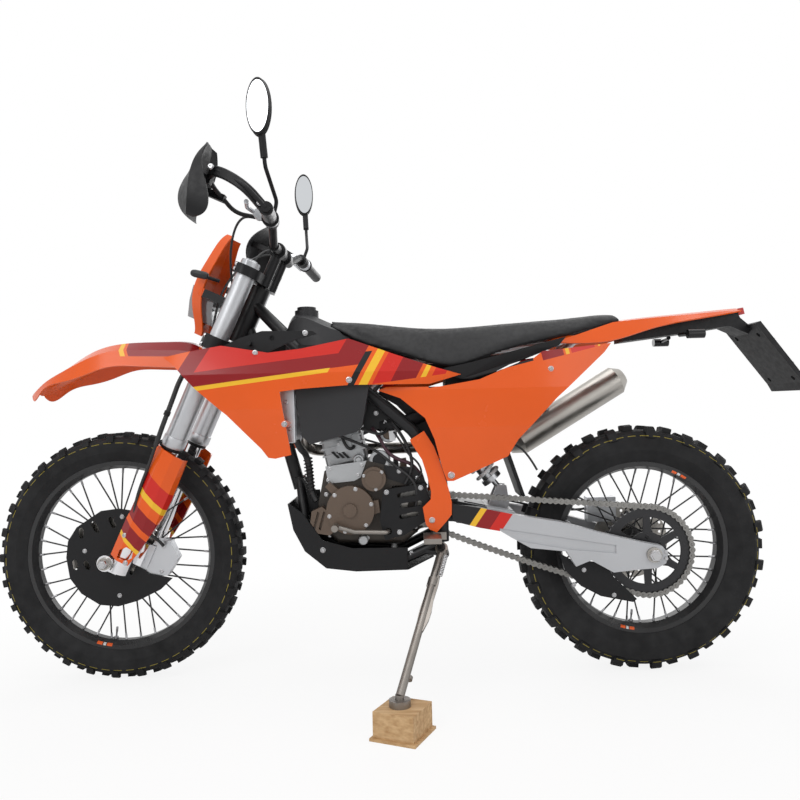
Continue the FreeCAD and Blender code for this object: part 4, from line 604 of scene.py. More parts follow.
def turned_piece(name, finish, body, forms, smooth=True):
    """A piece of turned forms, each with its place, direction, profile and count of segments."""
    bm = bmesh.new()
    for form in forms:
        turned(bm, *form)
    finish_piece(bm, name, finish, body, smooth)


# Profiles of heads, as (radius, along) in units of the head's radius.
BOLT_PROFILE = [(0.0, 0.25), (0.46, 0.25), (0.52, 0.72), (0.80, 0.72), (0.95, 0.55), (1.0, 0.25),
                (1.22, 0.18), (1.25, -0.5), (0.0, -0.5)]
NUT_PROFILE = [(0.0, 0.75), (0.62, 0.75), (0.66, 0.62), (0.9, 0.62), (1.0, 0.5), (1.0, -0.4), (0.0, -0.4)]
NIPPLE_PROFILE = [(0.0, 4.2), (0.72, 4.2), (0.85, 3.8), (0.85, 0.6), (1.15, 0.2), (1.15, -1.2), (0.0, -1.2)]


def bolt(place, direction, radius, profile=BOLT_PROFILE, segments=18):
    """A head's turned form."""
    return place, direction, [(r * radius, a * radius) for r, a in profile], segments


def nut(place, radius):
    return bolt(place, LEFTWARD, radius, NUT_PROFILE, segments=6)


# How far out a ray starts, and where a point is put that a ray misses.
FAR_OUT, NO_HIT = 520, 100
TREES = {}


def surface_at(node, x, z, side=-1):
    """Where a line across the bike first meets a node from one side."""
    if node not in TREES:
        data = frame["nodes"][node].data
        TREES[node] = BVHTree.FromPolygons([v.co.copy() for v in data.vertices],
                                           [tuple(p.vertices) for p in data.polygons])
    hit = TREES[node].ray_cast(on_bike(x, side * FAR_OUT, z), LEFTWARD * side)
    return hit[0] if hit[0] is not None else on_bike(x, side * NO_HIT, z)


def surface_at_fork(node, x, z, side=-1):
    """As surface_at, for a point of the fork's side view."""
    place = BIKE.inverted() @ on_fork(x, 0, z)
    return surface_at(node, place.x / MM, place.z / MM, side)


def hose(name, points, radius, finish, body):
    """A round hose or cable on a smooth line through its control points."""
    curve = bpy.data.curves.new(name, "CURVE")
    curve.dimensions = "3D"
    curve.bevel_depth = radius * MM
    curve.bevel_resolution = 3
    curve.resolution_u = 8
    curve.use_fill_caps = True
    spline = curve.splines.new("NURBS")
    spline.points.add(len(points) - 1)
    for point, place in zip(spline.points, points):
        point.co = (*place, 1.0)
    spline.order_u = 3
    spline.use_endpoint_u = True
    piece = bpy.data.objects.new(name, curve)
    bpy.context.collection.objects.link(piece)
    curve.materials.append(FINISHES[finish])
    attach(piece, body)


COIL_STEPS = 14
WIRE_CORNERS = 8


def coil(name, start, end, finish, body, radius, wire, turns, flat_ends=0.0):
    """A wound spring between two points."""
    axis = (end - start).normalized()
    turn = axis.to_track_quat("Z", "Y").to_matrix()
    length = (end - start).length
    steps = int(turns * COIL_STEPS)
    bm = bmesh.new()
    rings = []
    for step in range(steps + 1):
        share = step / steps
        angle = math.tau * turns * share
        eased = min(max((share - flat_ends) / (1 - 2 * flat_ends), 0.0), 1.0)
        out = turn @ Vector((math.cos(angle), math.sin(angle), 0.0))
        centre = start + axis * (wire * MM + (length - 2 * wire * MM) * eased) + out * (radius * MM)
        corners = [math.tau * k / WIRE_CORNERS for k in range(WIRE_CORNERS)]
        rings.append([bm.verts.new(centre + (out * math.cos(corner) + axis * math.sin(corner)) * (wire * MM))
                      for corner in corners])
    skin(bm, rings)
    return finish_piece(bm, name, finish, body)


# Wheels

SPOKES = 36
SPOKE_SWEEP = math.radians(52)
NIPPLE_RADIUS = 3.6
VALVE_ANGLE = math.radians(-97)
VALVE_PROFILE = [(0.0, 34), (2.6, 34), (3.2, 32), (3.2, 20), (2.4, 19), (2.4, 7), (6.5, 6), (6.5, 1),
                 (4.0, -2), (0.0, -2)]
DISC_BOLTS = 6
DISC_BOLT_RADIUS = 5.0
# end, centre, rim's inner radius, disc's side, circle of its bolts, hub's flange radius and half width
WHEELS = [
    ("front", FRONT_CENTRE, 247, -69.8, 44, 36.5, 31),
    ("rear", REAR_CENTRE, 219, 71.8, 44, 44.5, 41),
]


def wheel_details(end, centre, rim_inner, disc_side, bolt_circle, hub_radius, hub_half):
    """Spoke nipples, a valve stem and the disc's bolts."""
    place = BIKE @ centre
    forms = []
    for index in range(SPOKES):
        angle = math.tau * index / SPOKES
        side = hub_half if index % 2 else -hub_half
        sweep = SPOKE_SWEEP if index % 4 < 2 else -SPOKE_SWEEP
        rim_point = polar(rim_inner, angle)
        inward = BIKE_TURN @ (polar(hub_radius, angle + sweep, side) - rim_point).normalized()
        seat = place + BIKE_TURN @ (rim_point * MM)
        forms.append(bolt(seat, inward, NIPPLE_RADIUS, NIPPLE_PROFILE, segments=8))
    out = BIKE_TURN @ polar(1.0, VALVE_ANGLE)
    forms.append((place + out * (rim_inner * MM), -out, VALVE_PROFILE, 12))
    turned_piece(end + "_nipples", "nipple_steel", end + "_wheel", forms)
    outward = LEFTWARD * -math.copysign(1.0, disc_side)
    points = [polar(bolt_circle, math.tau * (k + 0.5) / DISC_BOLTS, disc_side) for k in range(DISC_BOLTS)]
    turned_piece(end + "_disc_bolts", "bolt_steel", end + "_wheel", [
        bolt(place + BIKE_TURN @ (point * MM), outward, DISC_BOLT_RADIUS) for point in points])


# Chain and sprocket

PITCH = 15.875
BIG_TEETH, SMALL_TEETH = 48, 14
PITCH_CIRCLE, SMALL_CIRCLE = (PITCH / 2 / math.sin(math.pi / teeth) for teeth in (BIG_TEETH, SMALL_TEETH))
CHAIN_SAG = 12.0
CHAIN_SIDE = -74.0
SMALL_CENTRE, BIG_CENTRE = (95.0, 484.0), (740.0, 345.0)


def arc(centre, radius, start, step, count):
    return [(centre[0] + radius * math.cos(start - step * k), centre[1] + radius * math.sin(start - step * k))
            for k in range(count)]


def run_points(start, end, sag, odd):
    """Roller centres between two points, hanging by the sag, an even or odd count of them."""
    pieces = int(round(math.hypot(end[0] - start[0], end[1] - start[1]) / PITCH))
    if (pieces - 1) % 2 != odd:
        pieces += 1
    return [(start[0] + (end[0] - start[0]) * k / pieces,
             start[1] + (end[1] - start[1]) * k / pieces - 4 * sag * k / pieces * (1 - k / pieces))
            for k in range(1, pieces)]


def chain_line():
    """Roller centres of the loop in the side view, in millimetres, as the chain lies on both sprockets."""
    across, up = BIG_CENTRE[0] - SMALL_CENTRE[0], BIG_CENTRE[1] - SMALL_CENTRE[1]
    tilt = math.atan2(up, across)
    cone = math.asin((PITCH_CIRCLE - SMALL_CIRCLE) / math.hypot(across, up))
    step, small_step = math.tau / BIG_TEETH, math.tau / SMALL_TEETH
    first = math.ceil((tilt + math.pi / 2 + cone) / step) * step
    last = math.floor((tilt - math.pi / 2 - cone) / step) * step
    rear_arc = arc(BIG_CENTRE, PITCH_CIRCLE, first, step, round((first - last) / step) + 1)
    wrap = math.ceil((math.pi - 2 * cone) / small_step)
    front_arc = arc(SMALL_CENTRE, SMALL_CIRCLE, tilt + math.pi + wrap * small_step / 2, small_step, wrap + 1)
    lower = run_points(rear_arc[-1], front_arc[0], CHAIN_SAG, odd=0)
    used = len(rear_arc) + len(front_arc) + len(lower)
    return rear_arc + lower + front_arc + run_points(front_arc[-1], rear_arc[0], 0.0, odd=used % 2)


PLATE_HALF, PLATE_WAIST, PLATE_THICKNESS = 8.4, 0.58, 1.7
PLATE_END_STEPS = 6
# The narrow links' and the wide links' plates, measured from the chain's middle.
NARROW_INSET, WIDE_INSET = 3.8, 5.6
PIN_PROFILE = [(0.0, -0.8), (3.0, -0.8), (3.6, 0.2), (3.6, 15.6), (3.0, 16.6), (0.0, 16.6)]
PIN_REACH = 7.9
ROLLER_PROFILE = [(4.9, 0.0), (4.9, 7.6)]


def link_plate(bm, start, end, near, far):
    """One waisted plate between two pins, from near to far across the bike."""
    run = Vector((end[0] - start[0], 0.0, end[1] - start[1]))
    length = run.length
    run.normalize()
    up = Vector((-run.z, 0.0, run.x))
    outline = []
    for centre, base in ((0.0, 90), (length, -90)):
        for k in range(PLATE_END_STEPS + 1):
            angle = math.radians(base + 180 * k / PLATE_END_STEPS)
            outline.append((centre + PLATE_HALF * math.cos(angle), PLATE_HALF * math.sin(angle)))
        waist = PLATE_HALF * PLATE_WAIST
        outline.append((length / 2, -waist if base == 90 else waist))
    origin = Vector((start[0], 0.0, start[1]))
    skin(bm, [[bm.verts.new(on_bike(*(origin + run * a + up * b + Y_AXIS * y))) for a, b in outline]
              for y in (near, far)])


def make_chain():
    """Waisted plates in turn inside and outside, on pins and rollers, in place of the plain loop."""
    points = chain_line()
    bm = bmesh.new()
    for index, start in enumerate(points):
        inset = NARROW_INSET if index % 2 else WIDE_INSET
        for side in SIDES:
            near = CHAIN_SIDE + side * inset
            link_plate(bm, start, points[(index + 1) % len(points)], near, near + side * PLATE_THICKNESS)
        x, z = start
        turned(bm, on_bike(x, CHAIN_SIDE - PIN_REACH, z), -LEFTWARD, PIN_PROFILE, segments=10)
        turned(bm, on_bike(x, CHAIN_SIDE - NARROW_INSET, z), -LEFTWARD, ROLLER_PROFILE, segments=10)
    piece = finish_piece(bm, "chain_links", "chain_steel", "chassis")
    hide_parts("chain")


# One tooth: the share of its step, and the reach beyond the circle of the pins.
TOOTH = [(-0.26, -5.38), (0.26, -5.38), (0.42, 4.2), (0.58, 4.2)]
SPROCKET_ARMS = 6
# One arm's outline: the angle from its middle, and the reach.
SPROCKET_ARM = [(-0.10, 93.5), (0.10, 93.5), (0.22, 51.0), (-0.22, 51.0)]
RIM_HOLE, FLANGE_RADIUS, FLANGE_HOLE = 92.0, 52.0, 24.4
RING_HALF, ARM_HALF = 2.8, 2.4
SPROCKET_BOLT_CIRCLE, SPROCKET_BOLT_RADIUS = 38.0, 5.0


def make_sprocket():
    """The rear sprocket with its teeth, a rim and six arms, in place of the plain plate."""
    bm = bmesh.new()
    centre = BIKE @ REAR_CENTRE

    def place(angle, reach, across):
        return centre + BIKE_TURN @ (polar(reach, angle, across + CHAIN_SIDE) * MM)

    def loop(line, across):
        return [bm.verts.new(place(angle, reach, across)) for angle, reach in line]

    toothed = [(math.tau * (index + share) / BIG_TEETH, PITCH_CIRCLE + reach)
               for index in range(BIG_TEETH) for share, reach in TOOTH]
    flange = [(math.tau * k / BIG_TEETH, FLANGE_RADIUS) for k in range(BIG_TEETH)]
    for line, hole in ((toothed, RIM_HOLE), (flange, FLANGE_HOLE)):
        inner = [(angle, hole) for angle, reach in line]
        loops = [loop(outline, across) for outline, across in (
            (line, -RING_HALF), (line, RING_HALF), (inner, RING_HALF), (inner, -RING_HALF))]
        skin(bm, loops + loops[:1], capped=False)
    for arm in range(SPROCKET_ARMS):
        middle = math.tau * (arm + 0.5) / SPROCKET_ARMS
        outline = [(middle + angle, reach) for angle, reach in SPROCKET_ARM]
        skin(bm, [loop(outline, -ARM_HALF), loop(outline, ARM_HALF)])
        turned(bm, *bolt(place(middle, SPROCKET_BOLT_CIRCLE, -RING_HALF), LEFTWARD, SPROCKET_BOLT_RADIUS))
    piece = finish_piece(bm, "sprocket_ring", "sprocket_steel", "rear_wheel")
    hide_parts("rear_sprocket")


TRIM_OUTLINE = [(176, 846), (191, 858), (262, 872), (350, 893), (443, 917), (520, 935), (500, 912),
                (442, 890), (384, 872), (330, 846), (262, 828), (238, 828)]
TRIM_SIDE, TRIM_WIDEST, TRIM_TAPER, TRIM_THICKNESS = 138, 330, 0.04, 5.0


def side_trim():
    """The black filler strips between the seat's lower edge and the side panels."""
    bm = bmesh.new()
    for side in SIDES:
        skin(bm, [[bm.verts.new(on_bike(x, side * (TRIM_SIDE - depth - TRIM_TAPER * abs(x - TRIM_WIDEST)), z))
                   for x, z in TRIM_OUTLINE] for depth in (0.0, TRIM_THICKNESS)])
    finish_piece(bm, "side_trim", "black_plastic", "chassis", smooth=False)


# Fork, bars and controls

FORK_SETBACK, LEG_SPACING = 38.5, 107
LIP_HEIGHT, CAP_HEIGHT = 359, 905
LIP_PROFILE = [(29.6, 30), (31.6, 29), (32.2, 26), (32.2, 6), (31.0, 3), (29.5, -1), (26.0, -1), (26.0, 2)]
SEAL_PROFILE = [(28.5, -1), (28.5, -7), (27.0, -10), (24.2, -11)]
CAP_PROFILE = [(26.4, 0), (26.4, 3), (24, 5), (17, 5.5), (16, 9), (9, 9.5), (8, 7), (0.0, 7)]
# height along the fork, the clamp's radius there
CLAMP_BOLTS = [(652, 41), (676, 41), (873, 38), (886, 38)]
CLAMP_BOLT_RADIUS = 4.6
# How far ahead and out a clamp's bolts lie, in shares of its radius.
CLAMP_BOLT_AHEAD, CLAMP_BOLT_OUT = 0.72, 0.69


def fork_details():
    """Lips and seals at the upper tubes' ends, pinch bolts and the top caps."""
    rings, seals, bolts = [], [], []
    for side in SIDES:
        y = side * LEG_SPACING
        lip, top = (on_fork(FORK_SETBACK, y, height) for height in (LIP_HEIGHT, CAP_HEIGHT))
        rings += [(lip, FORK_UP, LIP_PROFILE, 40), (top, FORK_UP, CAP_PROFILE, 30)]
        seals.append((lip, FORK_UP, SEAL_PROFILE, 36))
        for along, radius in CLAMP_BOLTS:
            ahead, out = radius * CLAMP_BOLT_AHEAD, radius * CLAMP_BOLT_OUT
            place = on_fork(FORK_SETBACK - ahead, y + side * out, along)
            bolts.append(bolt(place, FORK_FORWARD, CLAMP_BOLT_RADIUS))
    turned_piece("fork_rings", "silver_alloy", "steering", rings)
    turned_piece("fork_seals", "black_plastic", "steering", seals)
    turned_piece("clamp_bolts", "bolt_steel", "steering", bolts)


MIRROR_HALF_WIDTH, MIRROR_HALF_HEIGHT = 31, 71
MIRROR_TURN = 12
MIRROR_PLACE = (-21, 330, 1234)
MIRROR_CORNERS = 48
# share of the head's size, lift towards the rider
MIRROR_RIM = [(0.97, 2.0), (0.97, 13.0), (0.94, 15.0), (0.90, 15.0), (0.88, 13.4)]
GLASS_RIM = (0.885, 13.5)


def oval(bm, centre, turn, share, lift):
    """One oval line of points in a mirror's plane, lifted towards the rider."""
    angles = [math.tau * k / MIRROR_CORNERS for k in range(MIRROR_CORNERS)]
    return [bm.verts.new(centre + turn @ (Vector((
        MIRROR_HALF_WIDTH * share * math.cos(angle), -lift,
        MIRROR_HALF_HEIGHT * share * math.sin(angle))) * MM)) for angle in angles]


def mirror_glass():
    """A raised rim and a flat oval glass on each mirror's rider side."""
    rims = bmesh.new()
    x, y, z = MIRROR_PLACE
    for side, name in zip(SIDES, ("left", "right")):
        turn = BIKE_TURN @ Matrix.Rotation(math.radians(side * MIRROR_TURN), 3, "Z")
        centre = on_fork(x, side * y, z)
        skin(rims, [oval(rims, centre, turn, *rim) for rim in MIRROR_RIM], capped=False)
        glass = bmesh.new()
        glass.faces.new(oval(glass, centre, turn, *GLASS_RIM))
        finish_piece(glass, name + "_mirror_glass", "mirror_glass", "steering")
    finish_piece(rims, "mirror_rims", "black_plastic", "steering")


# The strap's line, its section in shares of its half thickness and half height, and its bolts.
STRAP_LINE = [(106, 395, 1003), (52, 427, 1029), (-38, 395, 1043), (-64, 340, 1029)]
STRAP_SECTION = [(-1, -0.8), (-1, 0.8), (-0.6, 1), (0.6, 1), (1, 0.8), (1, -0.8), (0.6, -1), (-0.6, -1)]
STRAP_HALF_HEIGHT, STRAP_HALF_THICKNESS = 12, 6.4
STRAP_BOLTS = [(96, 411, 1008), (-42, 406, 1042)]
STRAP_BOLT_RADIUS = 5.5
ROUNDINGS = 3


def rounded(points):
    """The line with its corners cut, a quarter of each run from its ends."""
    cut = [points[0]]
    for first, second in zip(points, points[1:]):
        cut += [first.lerp(second, 0.25), first.lerp(second, 0.75)]
    return cut + [points[-1]]


def strap(bm, points):
    """A flat bar along a rounded line of points, with its faces upright."""
    for turn in range(ROUNDINGS):
        points = rounded(points)
    loops = []
    for index, point in enumerate(points):
        run = points[min(index + 1, len(points) - 1)] - points[max(index - 1, 0)]
        out = run.cross(FORK_UP).normalized() * (STRAP_HALF_THICKNESS * MM)
        rise = out.cross(run).normalized() * (STRAP_HALF_HEIGHT * MM)
        loops.append([bm.verts.new(point + out * a + rise * b) for a, b in STRAP_SECTION])
    skin(bm, loops)


def guard_straps():
    """The flat straps of the hand guards, on their bars, with a bolt at each end."""
    bm = bmesh.new()
    for side in SIDES:
        strap(bm, [on_fork(x, side * y, z) for x, y, z in STRAP_LINE])
    finish_piece(bm, "guard_straps", "black_plastic", "steering")
    turned_piece("strap_bolts", "bolt_steel", "steering", [
        bolt(on_fork(x, side * y, z), LEFTWARD * -side, STRAP_BOLT_RADIUS)
        for side in SIDES for x, y, z in STRAP_BOLTS])


# name, radius, control points in the fork's frame
FORK_HOSES = [
    ("front_brake_hose", 4.4, [
        (30, -92, 650), (4, -110, 610), (-6, -140, 560), (2, -148, 470), (6, -150, 390), (8, -146, 346),
        (8, -136, 300), (10, -134, 210), (24, -134, 150), (66, -132, 124), (104, -110, 112), (118, -92, 96)]),
    ("brake_hose_cover", 6.4, [
        (4, -110, 610), (-6, -140, 560), (2, -148, 470), (6, -150, 390), (8, -146, 352)]),
    ("clutch_cable", 3.2, [
        (70, -240, 1004), (20, -222, 1006), (-16, -180, 985), (-26, -130, 930), (-10, -84, 860),
        (20, -62, 800)]),
    ("throttle_cable", 3.4, [
        (70, 240, 1004), (12, 220, 1016), (-22, 160, 990), (-24, 96, 920), (6, 66, 860), (24, 60, 800)]),
    ("brake_upper_hose", 3.4, [
        (60, 232, 1000), (0, 196, 996), (-30, 120, 950), (-34, 20, 880), (-24, -60, 780), (10, -90, 690)]),
]
CLIP_PLACE = (3, -149, 450)
CLIP_PROFILE = [(6.2, 0), (8.5, 0), (8.5, 12), (6.2, 12)]


def front_lines():
    """The brake hoses with a clip on the left leg, and the cables round the head."""
    for name, radius, points in FORK_HOSES:
        hose(name, [on_fork(*point) for point in points], radius, "hose_rubber", "steering")
    clip = on_fork(*CLIP_PLACE), -FORK_UP, CLIP_PROFILE, 14
    turned_piece("hose_clip", "black_plastic", "steering", [clip])


# Parts of an indicator: name, finish, where it starts, the point that it aims at, its profile and segments.
INDICATOR_PARTS = [
    ("front_indicator_stalks", "black_plastic", (-424, 84, 1118), (-470, 118, 1130),
     [(0.0, 0.0), (5, 0.0), (5, 52), (0.0, 52)], 12),
    ("front_indicators", "smoke_plastic", (-492, 118, 1137), (-440, 118, 1124),
     [(0.0, 0.0), (6, 1), (9, 5), (10.5, 12), (10.5, 40), (8, 48), (0.0, 50)], 18),
]


def indicators():
    """The front indicators on their stalks."""
    for name, finish, start, aim, profile, segments in INDICATOR_PARTS:
        lines = [[on_bike(x, side * y, z) for x, y, z in (start, aim)] for side in SIDES]
        turned_piece(name, finish, "steering", [(low, high - low, profile, segments) for low, high in lines])


# Bolts on the chassis and the steering

LEFT, RIGHT = [-1], [1]
# sides, node, radius, x and z of each bolt in the side view
CHASSIS_BOLTS = [
    (SIDES, "frame_guards", 6.5, [(148, 452)]),
    (SIDES, "side_panels", 7.5, [(202, 572)]),
    (SIDES, "side_panels", 6.0, [(470, 848)]),
    (SIDES, "shroud_wings", 6.0, [(-174, 957)]),
    (SIDES, "radiators", 5.0, [(-230, 777), (-218, 706)]),
    (SIDES, "shrouds", 6.5, [(-228, 720), (-60, 830)]),
    (SIDES, "shrouds", 6.0, [(-300, 905)]),
    (SIDES, "skid_plate", 6.0, [(92, 356), (-150, 372)]),
    (LEFT, "chain_guards", 5.5, [(27, 526), (60, 417), (120, 536)]),
    (LEFT, "chain_guards", 5.0, [(530, 262), (560, 300), (640, 230)]),
    (LEFT, "engine_cases", 5.0, [(-140, 520), (-134, 404), (-30, 398), (30, 470), (44, 540), (104, 420)]),
]
# sides, radius, the middle and the radius of the circle, first angle, count
COVER_BOLTS = [
    (LEFT, 4.6, (-72, 480), 59, 15, 6),
    (LEFT, 3.8, (-7, 562), 28.5, 40, 3),
    (RIGHT, 4.6, (-30, 478), 71, 0, 8),
]
STEERING_BOLTS = [
    (SIDES, "fork_guards", 5.5, [(56, 30), (24, 96)]),
    (LEFT, "disc_guard", 5.0, [(-78, -6), (-20, 122), (60, -80)]),
    (LEFT, "front_caliper", 5.5, [(118, 92), (140, 26)]),
]
FRONT_NUT_PLACE, FRONT_NUT_RADIUS = (0, -136, 0), 13
REAR_NUT_PLACE, REAR_NUT_RADIUS = (740, -131, 345), 17
# node, x and z in the side view, radius
CHASSIS_NUTS = [("frame", 178, 470, 13), ("swingarm", 772, 352, 5.5), ("swingarm", 772, 334, 5.5)]


def heads(rows, surface):
    """Bolt heads on the surfaces of nodes, square to the side view."""
    return [bolt(surface(node, x, z, side), LEFTWARD * -side, radius)
            for sides, node, radius, spots in rows for x, z in spots for side in sides]


def around(middle, circle, first, count):
    angles = [math.radians(first) + math.tau * k / count for k in range(count)]
    return [(middle[0] + circle * math.cos(angle), middle[1] + circle * math.sin(angle)) for angle in angles]


def surface_bolts():
    """Bolt heads and nuts that sit on panels, covers, guards and axles."""
    covers = [(sides, "engine_covers", radius, around(*circle)) for sides, radius, *circle in COVER_BOLTS]
    turned_piece("chassis_bolts", "bolt_steel", "chassis", heads(CHASSIS_BOLTS + covers, surface_at))
    nuts = [nut(surface_at(node, x, z), radius) for node, x, z, radius in CHASSIS_NUTS]
    nuts.append(nut(on_bike(*REAR_NUT_PLACE), REAR_NUT_RADIUS))
    turned_piece("axle_nuts", "bolt_steel", "chassis", nuts, smooth=False)
    turned_piece("steering_bolts", "bolt_steel", "steering", heads(STEERING_BOLTS, surface_at_fork) + [
        nut(on_fork(*FRONT_NUT_PLACE), FRONT_NUT_RADIUS)])


# Engine

# name, radius, finish, control points
RADIATOR_HOSE = (
    "radiator_hose", 9.0, "hose_rubber", [
        (-214, -124, 676), (-206, -110, 648), (-196, -76, 634), (-190, -62, 600), (-188, -60, 560),
        (-184, -62, 520), (-170, -66, 500)])
HOSE_GUARD = (-193, -62, 624), (-186, -60, 524)
CHASSIS_HOSES = [
    ("overflow_hose", 4.0, "hose_rubber", [
        (-120, -96, 690), (-60, -86, 664), (-4, -78, 640), (30, -84, 612), (60, -96, 590), (100, -112, 560),
        (112, -108, 520), (104, -100, 470)]),
    ("engine_wire", 2.8, "hose_rubber", [
        (40, -70, 700), (66, -92, 668), (84, -96, 630), (120, -98, 600), (126, -96, 560), (60, -92, 520)]),
    ("spark_lead", 4.2, "hose_rubber", [
        (-104, -60, 700), (-96, -72, 680), (-84, -74, 650), (-70, -66, 640), (-62, -56, 650)]),
    ("fuel_hose", 4.0, "hose_rubber", [
        (-40, -100, 700), (-14, -104, 690), (14, -94, 682), (30, -76, 690), (36, -66, 700)]),
    ("rear_brake_hose", 3.6, "hose_rubber", [
        (196, 118, 420), (260, 128, 470), (360, 130, 470), (480, 126, 440), (580, 112, 430),
        (630, 84, 440), (640, 72, 466)]),
    ("breather_hose", 3.0, "hose_rubber", [
        (238, -60, 690), (300, -72, 668), (380, -66, 650), (420, -62, 620), (446, -60, 572)]),
]
# Those that run over the small parts round the cylinder.
OUTER_HOSES = [
    ("wire_loom", 5.0, "wire_cover", [
        (-10, -66, 700), (6, -78, 680), (30, -84, 632), (60, -86, 612), (98, -84, 600), (128, -80, 560),
        (134, -76, 520)]),
    ("drain_hose", 4.6, "hose_rubber", [
        (46, -80, 716), (74, -90, 676), (92, -94, 636), (100, -96, 600), (90, -96, 566), (78, -94, 545)]),
    ("throttle_end_cable", 3.0, "hose_rubber", [
        (-30, -72, 668), (0, -82, 660), (40, -84, 646), (70, -76, 640), (110, -60, 650)]),
]


def chassis_hoses(rows):
    for name, radius, finish, points in rows:
        hose(name, [on_bike(*point) for point in points], radius, finish, "chassis")


def hose_guard():
    """The wound guard round the hose in front of the cylinder."""
    start, end = (on_bike(*point) for point in HOSE_GUARD)
    coil("hose_guard", start, end, "black_metal", "chassis", radius=11.5, wire=1.9, turns=10)


ROUND_EDGE = 2.0
# The round parts and flat plates of each piece, all as seen from the left.
# A round part is its centre x and z, the start and end across the bike, and its radius.
# A plate is its outline in x and z, and the start and end across the bike.
CASTING_ROUNDS = [
    (8, 610, -80, -8, 29), (-50, 613, -78, -48, 15), (-50, 613, -82, -78, 9), (34, 682, -66, -30, 24),
    (-40, 394, -100, -84, 13),
]
CASTING_PLATES = [
    ([(-141, 597), (-27, 611), (-44, 566), (-62, 556), (-134, 550)], -88, -83),
    ([(-112, 664), (-72, 672), (-68, 640), (-108, 632)], -62, -54),
]
BRACKET_ROUNDS = [(8, 610, -81, -79, 20)]
BRACKET_PLATES = [
    ([(-20, 796), (5, 780), (66, 722), (34, 708), (-36, 680), (-30, 740)], -66, -61),
    ([(-207, 527), (-166, 527), (-162, 495), (-204, 497)], -26, -20.5),
    ([(46, 612), (60, 613), (60, 588), (46, 588)], -58, -46),
    ([(20, 596), (104, 590), (128, 560), (140, 540), (120, 530), (30, 560)], -88, -84),
    ([(12, 815), (120, 802), (200, 760), (200, 640), (150, 598), (120, 652), (96, 722), (58, 762),
      (8, 792)], -35, -31),
]
SLOT_OUTLINE, SLOT_START, SLOT_END = [(-128, 634), (-121, 636), (-103, 618), (-110, 616)], -56, -54.6
SLOTS, SLOT_STEP = 3, 14
CAP_ROUNDS = [(34, 682, -70, -66, 15), (44, 406, -104, -84, 8)]
CAP_PLATES = [([(64, 612), (82, 614), (84, 584), (66, 582)], -62, -44)]
PLUG_PLATES = [([(36, 690), (52, 692), (54, 664), (38, 662)], -80, -66)]
# place, radius
ENGINE_BOLTS = [
    ((1, -66, 742), 6.0), ((27, -66, 713), 6.0), ((-134, -88, 560), 4.5), ((-50, -88, 572), 4.5),
    ((-128, -88, 590), 4.5), ((-40, -88, 598), 4.5), ((62, -88, 580), 5.0), ((112, -88, 560), 5.0),
    ((-186, -26, 511), 6.0), ((-106, -62, 658), 3.6), ((-76, -62, 644), 3.6), ((30, -80, 596), 4.0),
    ((-14, -80, 622), 4.0),
]


def side_parts(name, finish, rounds, plates, smooth=False):
    """One piece of round parts with bevelled left ends and of flat plates, all square to the side view."""
    bm = bmesh.new()
    for x, z, start, end, radius in rounds:
        length = end - start
        turned(bm, on_bike(x, end, z), LEFTWARD, [
            (0.0, 0.0), (radius, 0.0), (radius, length - ROUND_EDGE), (radius - ROUND_EDGE, length),
            (0.0, length)], segments=36)
    for outline, start, end in plates:
        skin(bm, [[bm.verts.new(on_bike(x, y, z)) for x, z in outline] for y in (start, end)])
    finish_piece(bm, name, finish, "chassis", smooth)


def engine_parts():
    """The small castings and brackets that show round the cylinder on the left."""
    slots = [([(x + SLOT_STEP * k, z) for x, z in SLOT_OUTLINE], SLOT_START, SLOT_END) for k in range(SLOTS)]
    side_parts("engine_castings", "cast_alloy", CASTING_ROUNDS, CASTING_PLATES, smooth=True)
    side_parts("engine_brackets", "black_metal", BRACKET_ROUNDS, BRACKET_PLATES + slots)
    side_parts("engine_caps", "bronze_paint", CAP_ROUNDS, CAP_PLATES)
    side_parts("wire_plug", "white_plastic", [], PLUG_PLATES)
    turned_piece("engine_bolts", "bolt_steel", "chassis", [
        bolt(on_bike(*place), LEFTWARD, radius) for place, radius in ENGINE_BOLTS])


# Shock, stand, wings, plate and seat

SHOCK_LOW, SHOCK_HIGH = Vector((352, 8, 512)), Vector((150, 8, 768))
SHOCK_START, SHOCK_END = 50, 205


def shock_coil():
    """The wound spring in place of its plain sleeve."""
    axis = (SHOCK_HIGH - SHOCK_LOW).normalized()
    start, end = (on_bike(*(SHOCK_LOW + axis * along)) for along in (SHOCK_START, SHOCK_END))
    piece = coil("shock_coil", start, end, "white_spring", "chassis", radius=31.4, wire=5.4, turns=6.5,
                 flat_ends=0.06)
    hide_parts("shock_spring")


# The foot's place from the middle of the block's top.
FOOT_FORWARD, FOOT_LIFT = 0.006, 0.020


def stand_line():
    """The leg's pivot, its foot over the block, and the directions down the leg and rearward of it."""
    low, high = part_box("wood_block")
    foot = Vector(((low[0] + high[0]) / 2 - FOOT_FORWARD, (low[1] + high[1]) / 2, high[2] + FOOT_LIFT))
    top = Vector(JOINTS["side_stand_fold"]["pos_m"])
    down = (foot - top).normalized()
    return top, foot, down, square_to(down, REARWARD)


def square_to(down, direction):
    """The part of a direction that is square to the leg, at unit length."""
    return (direction - down * direction.dot(down)).normalized()


SPRING_REARWARD, SPRING_OUTWARD = 0.013, 0.012
SPRING_START, SPRING_END = 0.026, 0.092


def stand_spring():
    """The return spring along the side stand's rear edge."""
    top, foot, down, rearward = stand_line()
    aside = rearward * SPRING_REARWARD + square_to(down, LEFTWARD) * SPRING_OUTWARD
    start, end = (top + down * along + aside for along in (SPRING_START, SPRING_END))
    coil("stand_spring", start, end, "bolt_steel", "side_stand", radius=4.6, wire=1.5, turns=12)


